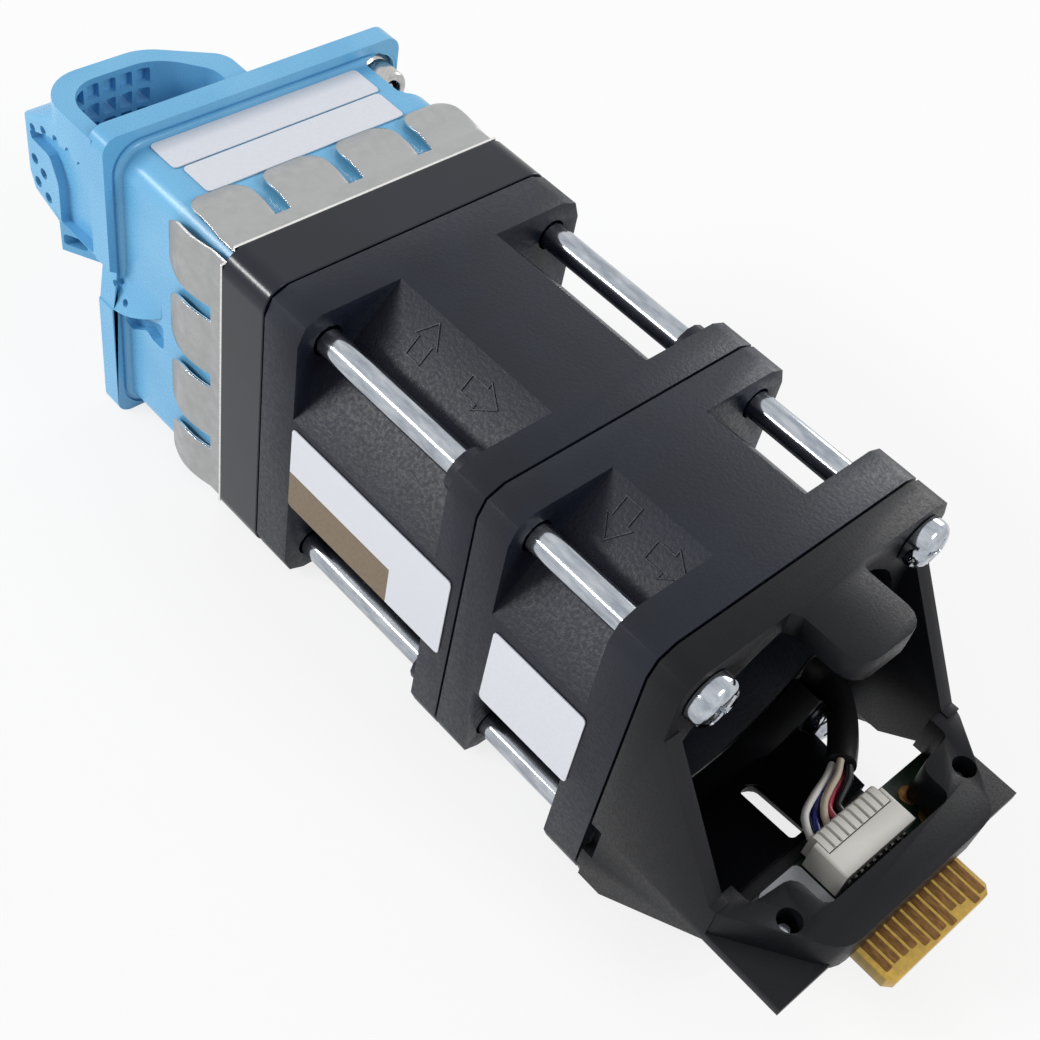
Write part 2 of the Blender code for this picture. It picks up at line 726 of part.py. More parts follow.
def make_housing(build):
    """Blue moulding: flange, grille, duct walls and the perforated finger loop."""
    flange = rounded_box(-FLANGE_HALF, FLANGE_HALF, -HALF, FLANGE_TOP, FLANGE_CORNER, 3)
    housing = build.solid("front_housing", *prism(flange, "Y", FLANGE_FRONT, FLANGE_BACK), "blue")
    outer = rounded_box(-HOUSING_HALF, HOUSING_HALF, -HOUSING_HALF, HOUSING_HALF, HOUSING_CORNER)
    tube = build.solid("housing_tube", *prism(outer, "Y", FLANGE_BACK - 1.0, HOUSING_REAR), None)
    build.tool(tube, housing, "UNION")
    inner_half = HOUSING_HALF - HOUSING_WALL
    inner = rounded_box(-inner_half, inner_half, -inner_half, inner_half, 2.0)
    grille_back = FLANGE_FRONT + GRILLE_THICKNESS
    duct = build.solid("housing_duct", *prism(inner, "Y", grille_back, HOUSING_REAR + 1.0), None)
    build.tool(duct, housing, "DIFFERENCE")
    boss_low = HOUSING_REAR - TIE_BITE - 1.0
    bosses = [revolve([(0.0, boss_low), (HOUSING_BOSS_RADIUS, boss_low),
                       (HOUSING_BOSS_RADIUS, HOUSING_REAR), (0.0, HOUSING_REAR)], 14, spot)
              for spot in four_corners()]
    posts = build.solid("housing_bosses", *merged(bosses), None)
    build.tool(posts, housing, "UNION")
    add_tie_holes(build, housing, boss_low + 0.6, HOUSING_REAR + 1.0, TIE_HOLE)
    cut_side_scoop(build, housing)
    add_grip(build, housing)
    cut_grille(build, housing)
    cut_corner_scoop(build, housing)
    return housing


def cut_corner_scoop(build, housing):
    """Room for the captive screw's ferrule at the top left corner, and its hole."""
    low, high = FLANGE_BACK, FLANGE_BACK + CORNER_SCOOP_LENGTH
    spot = (CAPTIVE_X, CAPTIVE_Z)
    scoop = [(0.0, low), (CORNER_SCOOP_RADIUS, low), (CORNER_SCOOP_RADIUS, high - 2.4),
             (CORNER_SCOOP_RADIUS * 0.6, high - 0.6), (0.0, high)]
    cutter = build.solid("corner_scoop", *revolve(scoop, 24, spot), None)
    build.tool(cutter, housing, "DIFFERENCE")
    hole = HEAD_RECESS_RADIUS + 0.4 + RING_CLEARANCE
    drill = [(0.0, FLANGE_FRONT - 1), (hole, FLANGE_FRONT - 1), (hole, FLANGE_BACK + 1),
             (0.0, FLANGE_BACK + 1)]
    cutter = build.solid("ferrule_hole", *revolve(drill, 24, spot), None)
    build.tool(cutter, housing, "DIFFERENCE")


def cut_side_scoop(build, housing):
    """Sloping recess in the right wall, deepest at its lower edge."""
    outer = HOUSING_HALF
    section = [(outer + 1.0, SCOOP_TOP + 0.8), (outer - 0.05, SCOOP_TOP),
               (outer - SCOOP_DEPTH, SCOOP_BOTTOM), (outer + 1.0, SCOOP_BOTTOM - 0.4)]
    wedge = prism(section, "Y", FLANGE_BACK + 0.3, FLANGE_BACK + SCOOP_LENGTH)
    cutter = build.solid("side_scoop", *wedge, None)
    build.tool(cutter, housing, "DIFFERENCE")


def add_grip(build, housing):
    """Finger loop: a bulging perforated bow, open at the top, with a window in its cheek."""
    skin = [(GRIP_TOP, 0.0, 3.4), (GRIP_TOP - 2.4, 0.35, 3.2), (GRIP_BELLY_TOP, 1.0, 0.8),
            (GRIP_BELLY_BOTTOM, 1.0, 0.8), (5.0, 0.72, 0.8), (GRIP_FLOOR_TOP, -1.0, 0.8),
            (GRIP_BOTTOM, -1.05, 0.8)]
    bow = build.solid("grip_bow", *loft(grip_section(skin, 0.0)), None)
    build.tool(bow, housing, "UNION")
    hollow = [(GRIP_TOP + 1.0, 0.0, 3.4), (GRIP_TOP - 2.4, 0.30, 3.2), (GRIP_BELLY_TOP, 0.95, 2.0),
              (GRIP_BELLY_BOTTOM + 0.6, 0.95, 2.0), (GRIP_FLOOR_TOP, -0.35, 2.0)]
    well = build.solid("grip_well", *loft(grip_section(hollow, GRIP_WALL)), None)
    build.tool(well, housing, "DIFFERENCE")
    cut_cheek(build, housing)
    holes = []
    for row in range(GRIP_HOLE_ROWS):
        for column in range(GRIP_HOLE_COLUMNS):
            x = 8.6 + GRIP_HOLE_PITCH * column
            z = GRIP_BELLY_BOTTOM + 0.4 + GRIP_HOLE_PITCH * row * 0.93
            shape = rounded_box(x - GRIP_HOLE / 2, x + GRIP_HOLE / 2, z - GRIP_HOLE * 0.6,
                                z + GRIP_HOLE * 0.6, GRIP_HOLE * 0.3, 1)
            holes.append(prism(shape, "Y", GRIP_FRONT - 1.0, FLANGE_FRONT - 6.0))
    cutter = build.solid("grip_holes", *merged(holes), None)
    build.tool(cutter, housing, "DIFFERENCE")


def cut_cheek(build, housing):
    """Window in the cheek, and the foot's side drawn in towards the flange."""
    inside, outside = GRIP_RIGHT - GRIP_CHEEK - 1.5, GRIP_RIGHT + 1.0
    front = FLANGE_FRONT
    window = rounded([(front, CHEEK_WINDOW_TOP - 0.6), (front - 4.6, CHEEK_WINDOW_TOP),
                      (front - 12.4, GRIP_BELLY_TOP - 2.2), (front - 8.0, GRIP_BELLY_BOTTOM + 2.0),
                      (front - 7.4, GRIP_FLOOR_TOP), (front, GRIP_FLOOR_TOP)],
                     [1.2, 3.0, 1.0, 5.0, 0.6, 0.4], 3)
    cutter = build.solid("cheek_window", *prism(window, "X", inside, outside), None)
    build.tool(cutter, housing, "DIFFERENCE")
    wedge = [(outside, front - 8.0), (GRIP_RIGHT, front - 7.5), (GRIP_RIGHT - 4.2, front), (outside, front)]
    cutter = build.solid("foot_taper", *prism(wedge, "Z", GRIP_BOTTOM - 1.0, GRIP_FLOOR_TOP + 0.1), None)
    build.tool(cutter, housing, "DIFFERENCE")


def cut_grille(build, housing):
    """Honeycomb holes through the front plate, clear of the loop's walls and the ferrule."""
    cells = []
    rise = GRILLE_PITCH * math.sqrt(3.0) / 2
    columns = int(GRILLE_HALF / rise)
    rows = int(GRILLE_HALF / GRILLE_PITCH)
    for i in range(-columns, columns + 1):
        shift = GRILLE_PITCH / 2 if i % 2 else 0.0
        for j in range(-rows - 1, rows + 1):
            x, z = rise * i, GRILLE_PITCH * j + shift
            if max(abs(x), abs(z)) > GRILLE_HALF or blocked_cell(x, z):
                continue
            shape = hexagon(GRILLE_HOLE, x, z)
            cells.append(prism(shape, "Y", FLANGE_FRONT - 0.5, FLANGE_FRONT + GRILLE_THICKNESS + 0.5))
    cutter = build.solid("grille_cells", *merged(cells), None)
    build.tool(cutter, housing, "DIFFERENCE")


def blocked_cell(x, z):
    """Whether a grille cell would meet the loop's walls, floor or the ferrule."""
    reach = GRILLE_HOLE / 2 + 0.5
    inside_height = GRIP_BOTTOM - reach < z
    left_wall = GRIP_LEFT - reach < x < GRIP_LEFT + 3.0 + reach and inside_height
    floor = x > GRIP_LEFT - reach and GRIP_BOTTOM - reach < z < GRIP_FLOOR_TOP + reach
    ferrule = math.hypot(x - CAPTIVE_X, z - CAPTIVE_Z) < FERRULE_RADIUS + reach + 0.6
    return left_wall or floor or ferrule


def make_strips(build):
    """Stainless spring fingers on the housing's four sides, against the chassis wall."""
    sides = {
        "top": (1, 0, TOP_FINGER_LENGTH, TOP_SLOT_SHIFT),
        "left": (0, 1, SIDE_FINGER_LENGTH, -SIDE_SLOT_SHIFT),
        "bottom": (-1, 0, TOP_FINGER_LENGTH, TOP_SLOT_SHIFT),
        "right": (0, -1, SIDE_FINGER_LENGTH, SIDE_SLOT_SHIFT),
    }
    for side, (cos_t, sin_t, finger_length, shift) in sides.items():
        verts, faces = strip_shape(finger_length, shift)
        turned = [(x * cos_t - z * sin_t, y, x * sin_t + z * cos_t) for x, y, z in verts]
        build.solid("spring_strip_" + side, turned, faces, "steel")


def strip_shape(finger_length, shift):
    """Comb of four arched fingers cut from one sheet, lying over the housing's top face."""
    base = HOUSING_HALF + SEAT_GAP
    slots = [shift + FINGER_PITCH * k + side * FINGER_SLOT / 2 for k in (-1, 0, 1) for side in (-1, 1)]
    edges = [-STRIP_HALF, *slots, STRIP_HALF]
    band_end = HOUSING_REAR - STRIP_BAND
    verts = [(x, HOUSING_REAR, base) for x in edges] + [(x, band_end, base) for x in edges]
    columns = len(edges)
    cells = [(i, i + 1, columns + i + 1, columns + i) for i in range(columns - 1)]
    steps = 6
    for k in range(len(edges) // 2):
        left, right = edges[2 * k], edges[2 * k + 1]
        last = (columns + 2 * k, columns + 2 * k + 1)
        for step in range(1, steps + 1):
            t = step / steps
            rise = base + FINGER_RISE * math.sin(math.pi * t) ** 0.9
            round_off = max(0.0, (t - 0.6) / 0.4)
            trim = (right - left) * 0.26 * (1 - math.sqrt(1 - round_off ** 2))
            y = band_end - finger_length * t
            start = len(verts)
            verts += [(left + trim, y, rise), (right - trim, y, rise)]
            cells.append((last[0], last[1], start + 1, start))
            last = (start, start + 1)
    return thickened(verts, cells, (0.0, 0.0, STRIP_THICKNESS))


def thickened(verts, cells, offset):
    """Close a sheet of cells into a solid by copying it along an offset."""
    count = len(verts)
    moved = [tuple(a + b for a, b in zip(v, offset)) for v in verts]
    faces = [tuple(cell) for cell in cells]
    faces += [tuple(count + i for i in reversed(cell)) for cell in cells]
    edges = {}
    for cell in cells:
        for i, a in enumerate(cell):
            b = cell[(i + 1) % len(cell)]
            edges[(a, b)] = (b, a) not in edges
            if (b, a) in edges:
                edges[(b, a)] = False
    faces += [(a, b, count + b, count + a) for (a, b), outside in edges.items() if outside]
    return list(verts) + moved, faces


def make_captive_screw(build):
    """Ferrule pressed in the flange, and the screw that its ring keeps from falling out."""
    spot = (CAPTIVE_X, CAPTIVE_Z)
    front = FLANGE_FRONT - FERRULE_LIP
    lip = FLANGE_FRONT - RING_CLEARANCE
    recess = FLANGE_FRONT + HEAD_RECESS_DEPTH
    back = FLANGE_BACK + FERRULE_BACK
    chamber_front = recess + FERRULE_END_WALL
    chamber_back = back - FERRULE_END_WALL
    recess_skin = HEAD_RECESS_RADIUS + 0.4
    shell = [
        (HEAD_RECESS_RADIUS, front), (FERRULE_LIP_RADIUS, front), (FERRULE_LIP_RADIUS, lip),
        (recess_skin, lip), (recess_skin, chamber_front), (FERRULE_RADIUS, chamber_front + 0.5),
        (FERRULE_RADIUS, back), (FERRULE_MOUTH, back), (FERRULE_MOUTH, chamber_back),
        (FERRULE_CHAMBER, chamber_back), (FERRULE_CHAMBER, chamber_front),
        (FERRULE_MOUTH, chamber_front), (FERRULE_MOUTH, recess), (HEAD_RECESS_RADIUS, recess),
    ]
    build.solid("screw_ferrule", *revolve(shell, 14, spot), "zinc", (spot[0], FLANGE_BACK, spot[1]))
    ring_front = chamber_front + RING_CLEARANCE
    groove = CAPTIVE_RADIUS - GROOVE_DEPTH
    ring = ring_profile(groove + RING_CLEARANCE, FERRULE_CHAMBER - RING_CLEARANCE,
                        ring_front, ring_front + RING_THICKNESS)
    build.solid("retaining_ring", *revolve(ring, 14, spot), "zinc", (spot[0], ring_front, spot[1]))
    groove_front = ring_front - RING_CLEARANCE / 2
    groove_back = ring_front + RING_THICKNESS + RING_CLEARANCE / 2
    seat = recess - CAPTIVE_TRAVEL - RING_CLEARANCE
    head = seat - CAPTIVE_HEAD_LENGTH
    tip = back - CAPTIVE_POINT
    profile = [
        (0.0, head), (CAPTIVE_HEAD_RADIUS - 0.5, head), (CAPTIVE_HEAD_RADIUS, head + 0.5),
        (CAPTIVE_HEAD_RADIUS, seat), (CAPTIVE_RADIUS, seat), (CAPTIVE_RADIUS, groove_front),
        (groove, groove_front), (groove, groove_back), (CAPTIVE_RADIUS, groove_back),
        (CAPTIVE_RADIUS, tip - 0.5), (CAPTIVE_RADIUS * 0.6, tip), (0.0, tip),
    ]
    build.solid("captive_screw", *revolve(profile, 16, spot), "zinc", (spot[0], seat, spot[1]))


def make_bracket(build):
    """Black rear bracket: ring on the second fan, top lip, two arms and the board shelf."""
    outer = flange_outline()
    bore = circle_like(outer, DUCT_RADIUS)
    rings = [at_station(outer, RING_FRONT), at_station(outer, RING_REAR),
             at_station(bore, RING_REAR), at_station(bore, RING_FRONT)]
    bracket = build.solid("rear_bracket", *loft(rings, closed=True), "black")
    arm = [(RING_FRONT + 0.6, ARM_TOP_FRONT + 0.6), (RING_REAR + 0.2, ARM_TOP_FRONT),
           (ARM_REAR, ARM_TOP_REAR), (ARM_REAR + 1.0, ARM_TOP_REAR), (ARM_REAR + 1.0, BASE_BOTTOM),
           (RING_REAR, ARM_BOTTOM_FRONT), (RING_FRONT + 0.6, ARM_BOTTOM_FRONT)]
    for name, side in (("arm_right", 1), ("arm_left", -1)):
        low, high = sorted((side * (HALF - ARM_THICKNESS), side * HALF))
        part = build.solid(name, *prism(arm, "X", low, high), None)
        build.tool(part, bracket, "UNION")
    lip = rounded([(LIP_LEFT - 2.5, RING_FRONT + 0.4), (LIP_LEFT, RING_REAR + 1.0),
                   (LIP_LEFT, RING_REAR + LIP_REACH), (LIP_RIGHT, RING_REAR + LIP_REACH),
                   (LIP_RIGHT, RING_REAR + 1.0), (LIP_RIGHT + 2.5, RING_FRONT + 0.4)],
                  [0.0, 1.4, 2.4, 2.4, 1.4, 0.0], 4)
    part = build.solid("top_lip", *prism(lip, "Z", HALF - LIP_THICKNESS, HALF), None)
    build.tool(part, bracket, "UNION")
    add_shelf(build, bracket)
    add_floor(build, bracket)
    cut_notches(build, bracket)
    add_tie_holes(build, bracket, RING_FRONT - 1, RING_REAR + 1, TIE_HOLE)
    pocket_end = RING_REAR + TIE_HEAD_HEIGHT + 6.0
    pocket = [(0.0, RING_REAR), (HEAD_POCKET_RADIUS, RING_REAR), (HEAD_POCKET_RADIUS, pocket_end),
              (0.0, pocket_end)]
    pockets = [revolve(pocket, 20, spot) for spot in four_corners()]
    cutter = build.solid("head_pockets", *merged(pockets), None)
    build.tool(cutter, bracket, "DIFFERENCE")
    lead_hole = revolve([(0.0, RING_FRONT - 1), (SLEEVE_RADIUS + 0.4, RING_FRONT - 1),
                         (SLEEVE_RADIUS + 0.4, RING_REAR + 1), (0.0, RING_REAR + 1)], 20,
                        (SLEEVE_ROUTE[0][0], SLEEVE_ROUTE[0][2]))
    cutter = build.solid("lead_hole", *lead_hole, None)
    build.tool(cutter, bracket, "DIFFERENCE")


def add_shelf(build, bracket):
    """Shelf that holds the board from above, with a window round the connector."""
    front = ARM_REAR - 0.2
    outline = rounded([(HALF, front), (HALF - 0.4, BOARD_HOLE_Y - 4.6), (12.4, SHELF_REAR),
                       (-12.4, SHELF_REAR), (-HALF + 0.4, BOARD_HOLE_Y - 4.6), (-HALF, front)],
                      [0.0, 3.0, 4.0, 4.0, 3.0, 0.0], 4)
    shelf = build.solid("shelf", *prism(outline, "Z", BASE_BOTTOM + 0.4, SHELF_TOP), None)
    build.tool(shelf, bracket, "UNION")
    base = [(-HALF, front), (HALF, front), (HALF, BASE_REAR), (-HALF, BASE_REAR)]
    plate = build.solid("base_plate", *prism(base, "Z", BASE_BOTTOM, BASE_TOP), None)
    build.tool(plate, bracket, "UNION")
    window = rounded([(-SHELF_WINDOW_WIDE, front - 1.0), (SHELF_WINDOW_WIDE, front - 1.0),
                      (SHELF_WINDOW_WIDE, BOARD_HOLE_Y - SHELF_BOSS_RADIUS),
                      (SHELF_WINDOW_HALF, BOARD_HOLE_Y - SHELF_BOSS_RADIUS + 0.6),
                      (SHELF_WINDOW_HALF, SHELF_WINDOW_REAR), (-SHELF_WINDOW_HALF, SHELF_WINDOW_REAR),
                      (-SHELF_WINDOW_HALF, BOARD_HOLE_Y - SHELF_BOSS_RADIUS + 0.6),
                      (-SHELF_WINDOW_WIDE, BOARD_HOLE_Y - SHELF_BOSS_RADIUS)],
                     [0.0, 0.0, 1.0, 1.6, 1.2, 1.2, 1.6, 1.0], 3)
    cutter = build.solid("shelf_window", *prism(window, "Z", BASE_BOTTOM - 1, SHELF_TOP + 1), None)
    build.tool(cutter, bracket, "DIFFERENCE")
    drills = [hole_along_z(x, BOARD_HOLE_Y, BOARD_SCREW_RADIUS + 0.3, BASE_BOTTOM - 1, SHELF_TOP + 1)
              for x in (BOARD_HOLE_X, -BOARD_HOLE_X)]
    cutter = build.solid("shelf_holes", *merged(drills), None)
    build.tool(cutter, bracket, "DIFFERENCE")


def add_floor(build, bracket):
    """Sloping web from the ring's foot to the shelf, open beside the left arm."""
    front, rear = RING_REAR - 0.6, ARM_REAR
    slope = (BASE_BOTTOM - ARM_BOTTOM_FRONT) / (ARM_REAR - RING_REAR)
    rear_height = ARM_BOTTOM_FRONT + slope * (rear - RING_REAR)
    section = [(front, ARM_BOTTOM_FRONT), (RING_REAR, ARM_BOTTOM_FRONT), (rear, rear_height),
               (rear, rear_height + FLOOR_THICKNESS), (front, ARM_BOTTOM_FRONT + FLOOR_THICKNESS)]
    lean = (FLOOR_LEFT_REAR - FLOOR_LEFT_FRONT) / (rear - front)
    left = [(FLOOR_LEFT_FRONT + lean * (y - front), y, z) for y, z in section]
    right = [(HALF - 0.5, y, z) for y, z in section]
    floor = build.solid("floor_web", *loft([left, right]), None)
    build.tool(floor, bracket, "UNION")
    half = FLOOR_SLOT_WIDTH / 2
    slot_front, slot_rear = RING_REAR + 1.2, BOARD_FRONT - 1.6
    slot = rounded([(-1.2 - half, slot_front), (-1.2 + half, slot_front), (3.6 + half, slot_rear),
                    (3.6 - half, slot_rear)], [half * 0.75, half * 0.75, 0.5, 0.5], 4)
    cutter = build.solid("floor_slot", *prism(slot, "Z", ARM_BOTTOM_FRONT - 2.0, BASE_TOP + 1.0), None)
    build.tool(cutter, bracket, "DIFFERENCE")


def cut_notches(build, bracket):
    """Notches for the fan leads where the bracket meets the second fan."""
    section = [(RING_FRONT - 1.0, NOTCH_BOTTOM), (RING_FRONT + NOTCH_LENGTH, NOTCH_BOTTOM),
               (RING_FRONT + NOTCH_LENGTH, NOTCH_TOP), (RING_FRONT - 1.0, NOTCH_TOP)]
    shapes = []
    for side in (1, -1):
        low, high = sorted((side * (HALF - NOTCH_DEPTH), side * (HALF + 1.0)))
        shapes.append(prism(section, "X", low, high))
    cutter = build.solid("lead_notches", *merged(shapes), None)
    build.tool(cutter, bracket, "DIFFERENCE")


def hole_along_z(x, y, radius, low, high, steps=16):
    """Round bar along Z, used as a drill."""
    ring = [(x + radius * math.cos(2 * math.pi * i / steps), y + radius * math.sin(2 * math.pi * i / steps))
            for i in range(steps)]
    return prism(ring, "Z", low, high)


def make_board(build):
    """Card edge board, its two screws, the header and the plug."""
    shoulder = BASE_REAR - 0.6
    nose = TONGUE_REAR - TONGUE_CHAMFER
    outline = [(-BOARD_HALF, BOARD_FRONT), (BOARD_HALF, BOARD_FRONT), (BOARD_HALF, shoulder),
               (TONGUE_RIGHT, shoulder), (TONGUE_RIGHT, nose),
               (TONGUE_RIGHT - TONGUE_CHAMFER, TONGUE_REAR), (TONGUE_LEFT + TONGUE_CHAMFER, TONGUE_REAR),
               (TONGUE_LEFT, nose), (TONGUE_LEFT, shoulder), (-BOARD_HALF, shoulder)]
    board = build.solid("card_edge_board", *prism(outline, "Z", BOARD_BOTTOM, BOARD_TOP), "card")
    drills = [hole_along_z(x, BOARD_HOLE_Y, BOARD_SCREW_RADIUS + 0.3, BOARD_BOTTOM - 1, BOARD_TOP + 1)
              for x in (BOARD_HOLE_X, -BOARD_HOLE_X)]
    cutter = build.solid("board_holes", *merged(drills), None)
    build.tool(cutter, board, "DIFFERENCE")
    for name, x in (("board_screw_right", BOARD_HOLE_X), ("board_screw_left", -BOARD_HOLE_X)):
        build.solid(name, *board_screw(x), "zinc", (x, BOARD_HOLE_Y, BOARD_BOTTOM))
    make_connector(build)


def board_screw(x):
    """Pan head screw that comes up through the board into the shelf."""
    steps = 10
    top = SHELF_TOP - 0.8
    seat = BOARD_BOTTOM - 0.1
    levels = [(0.6 * BOARD_SCREW_HEAD, seat - BOARD_SCREW_HEAD_HEIGHT), (BOARD_SCREW_HEAD, seat - 0.5),
              (BOARD_SCREW_HEAD, seat), (BOARD_SCREW_RADIUS, seat), (BOARD_SCREW_RADIUS, top - 0.5),
              (BOARD_SCREW_RADIUS * 0.5, top)]
    rings = []
    for radius, z in levels:
        turns = [2 * math.pi * i / steps for i in range(steps)]
        rings.append([(x + radius * math.cos(t), BOARD_HOLE_Y + radius * math.sin(t), z) for t in turns])
    return loft(rings)


def make_connector(build):
    """Right-angle header on the board, open at the front of its roof, and the plug in it."""
    low = BOARD_TOP + 0.05
    floor = low + HEADER_WALL
    roof = HEADER_TOP - HEADER_WALL
    back = HEADER_REAR - HEADER_BACK_WALL
    box = rounded_box(HEADER_LEFT, HEADER_RIGHT, low, HEADER_TOP, 0.2, 1)
    header = build.solid("board_header", *prism(box, "Y", HEADER_FRONT, HEADER_REAR), "ivory")
    hollow = [(HEADER_FRONT - 1.0, floor), (back, floor), (back, roof), (HEADER_ROOF_FRONT, roof),
              (HEADER_ROOF_FRONT, HEADER_TOP + 1.0), (HEADER_FRONT - 1.0, HEADER_TOP + 1.0)]
    inner_left, inner_right = HEADER_LEFT + HEADER_WALL, HEADER_RIGHT - HEADER_WALL
    cutter = build.solid("header_hollow", *prism(hollow, "X", inner_left, inner_right), None)
    build.tool(cutter, header, "DIFFERENCE")
    step = HEADER_ROOF_FRONT - PLUG_GAP
    plug = [(PLUG_FRONT, floor + PLUG_GAP), (back - PLUG_GAP, floor + PLUG_GAP),
            (back - PLUG_GAP, roof - PLUG_GAP), (step, roof - PLUG_GAP), (step, HEADER_TOP),
            (PLUG_FRONT + 0.3, HEADER_TOP), (PLUG_FRONT, HEADER_TOP - 0.3)]
    build.solid("wire_plug", *prism(plug, "X", inner_left + PLUG_GAP, inner_right - PLUG_GAP), "ivory")


# Routes of the fan leads, set by hand: the sleeve comes through the ring, the wires leave it
SLEEVE_ROUTE = [(-15.7, 56.4, -10.2), (-15.6, 59.6, -9.8), (-12.6, 63.0, -8.6), (-8.6, 66.0, -7.2),
                (-5.4, 68.0, -6.4)]
WIRE_ROUTES = [
    [(-4.6, 67.4, -6.3), (-2.3, 68.2, -5.9), (0.3, 68.8, -5.8), (2.4, 69.5, -6.0), (3.3, 70.4, -6.3),
     (4.1, 71.5, -6.6)],
    [(-4.8, 68.0, -7.2), (-2.4, 68.3, -7.1), (-0.2, 69.1, -7.0), (1.3, 70.1, -6.9), (2.2, 71.0, -6.7),
     (2.85, 71.5, -6.6)],
    [(-5.1, 67.8, -5.4), (-3.3, 68.8, -5.3), (-1.4, 69.4, -5.4), (0.0, 70.0, -5.8), (0.9, 70.9, -6.2),
     (1.4, 71.5, -6.6)],
    [(-5.4, 68.9, -6.9), (-3.6, 69.4, -6.7), (-2.0, 69.8, -6.7), (-0.7, 70.4, -6.7), (-0.1, 71.0, -6.6),
     (0.1, 71.5, -6.6)],
    [(-5.6, 68.8, -5.8), (-4.4, 69.8, -5.9), (-3.2, 70.3, -6.1), (-2.1, 70.7, -6.4), (-1.4, 71.1, -6.6),
     (-1.1, 71.5, -6.6)],
]


def make_leads(build):
    """Fan leads: the black sleeve and the wires that fan out to the plug."""
    tube(build, "lead_sleeve", SLEEVE_ROUTE, SLEEVE_RADIUS, "sleeve", 3, 10)
    for number, route in enumerate(WIRE_ROUTES, start=1):
        tube(build, "lead_wire_%d" % number, route, WIRE_RADIUS, "sleeve", 2, 6)


def tube(build, name, route, radius, finish, steps, sides):
    """Round cord through hand-set points, with smooth bends and filled ends."""
    path = smooth_path(route, steps)
    rings = []
    normal = None
    for i, point in enumerate(path):
        ahead = path[min(i + 1, len(path) - 1)] - path[max(i - 1, 0)]
        ahead.normalize()
        if normal is None:
            normal = ahead.cross(Vector((0.0, 0.0, 1.0))).normalized()
        normal = (normal - ahead * normal.dot(ahead)).normalized()
        other = ahead.cross(normal)
        turns = [2 * math.pi * k / sides for k in range(sides)]
        rings.append([tuple(point + radius * (normal * math.cos(t) + other * math.sin(t))) for t in turns])
    build.solid(name, *loft(rings), finish, route[0])


def smooth_path(route, steps):
    """Points of a Catmull-Rom curve through a route."""
    knots = [Vector(p) for p in route]
    ends = [knots[0] * 2 - knots[1], *knots, knots[-1] * 2 - knots[-2]]
    path = []
    for i in range(len(knots) - 1):
        a, b, c, d = ends[i:i + 4]
        for k in range(steps):
            t = k / steps
            path.append(0.5 * (2 * b + (c - a) * t + (2 * a - 5 * b + 4 * c - d) * t ** 2
                               + (3 * b - a - 3 * c + d) * t ** 3))
    path.append(knots[-1])
    return path


def make_labels(build):
    """Blank paper labels on the housing and on each fan's right side."""
    top = HOUSING_HALF + LABEL_GAP
    for name, x_low, x_high, y_low, y_high in (
            ("housing_label_front", -13.4, 15.4, -27.0, -22.3),
            ("housing_label_rear", -12.9, 14.6, -22.0, -17.2)):
        outline = rounded_box(x_low, x_high, y_low, y_high, 0.5, 2)
        build.solid(name, *prism(outline, "Z", top, top + LABEL_THICKNESS), "paper")
    side = HALF + LABEL_GAP
    for name, y_low, y_high, z_low, z_high in (
            ("fan_1_label", FAN_1_FRONT_FLANGE + 0.2, FAN_1_REAR - 1.2, -6.4, 5.7),
            ("fan_2_label", FAN_2_FRONT + FAN_2_FRONT_FLANGE + 0.9, FAN_2_REAR - 4.2, -6.4, 5.0)):
        outline = rounded_box(y_low, y_high, z_low, z_high, 0.5, 2)
        build.solid(name, *prism(outline, "X", side, side + LABEL_THICKNESS), "paper")
    outline = rounded_box(HEADER_RIGHT + 0.2, 12.0, BOARD_FRONT + 0.3, 78.4, 0.7, 2)
    low = BOARD_TOP + 0.04
    build.solid("board_label", *prism(outline, "Z", low, low + LABEL_THICKNESS), "paper")


def shade_round_pieces():
    """Smooth the shallow bends of every piece that is made without a Boolean."""
    for obj in bpy.data.objects:
        if obj.type == "MESH" and not obj.modifiers:
            obj.data.shade_smooth()
            obj.data.set_sharp_from_angle(angle=SMOOTH_ANGLE)


def main():
    """Build the whole module."""
    clear_scene()
    build = Builder()
    make_housing(build)
    make_strips(build)
    make_captive_screw(build)
    make_collar(build)
    make_fans(build)
    make_tie_screws(build)
    make_bracket(build)
    make_board(build)
    make_leads(build)
    make_labels(build)
    shade_round_pieces()


main()
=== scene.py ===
"""Looks of a plug-in fan module: blue grip housing, two fans on tie screws, card-edge bracket.

Sizes in the classes are millimetres in the module's own frame: the air runs along Y, Y = 0 is the
seam between the collar and the first fan, and X = Z = 0 is the fans' axis.
"""

import logging
import math
from dataclasses import dataclass
from enum import Enum

import bmesh
import bpy
import numpy as np
from mathutils import Matrix, Vector


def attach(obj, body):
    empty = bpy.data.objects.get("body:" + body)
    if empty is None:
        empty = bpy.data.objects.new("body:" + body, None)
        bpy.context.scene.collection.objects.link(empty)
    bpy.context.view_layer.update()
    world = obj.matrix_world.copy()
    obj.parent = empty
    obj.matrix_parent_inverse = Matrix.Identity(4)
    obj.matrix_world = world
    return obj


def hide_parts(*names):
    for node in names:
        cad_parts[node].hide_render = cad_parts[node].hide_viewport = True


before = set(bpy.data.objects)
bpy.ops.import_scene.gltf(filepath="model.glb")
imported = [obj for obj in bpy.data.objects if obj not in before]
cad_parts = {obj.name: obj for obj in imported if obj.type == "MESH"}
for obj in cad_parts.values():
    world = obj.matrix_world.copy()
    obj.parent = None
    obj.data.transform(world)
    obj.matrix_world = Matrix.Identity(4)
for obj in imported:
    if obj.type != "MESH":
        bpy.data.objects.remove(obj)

LOG = logging.getLogger("fan_module")
MM = 0.001
MODULE_AT = np.array([0.0, -21.6, 20.0])
ROOT = "module"
Shape = tuple[np.ndarray, list]


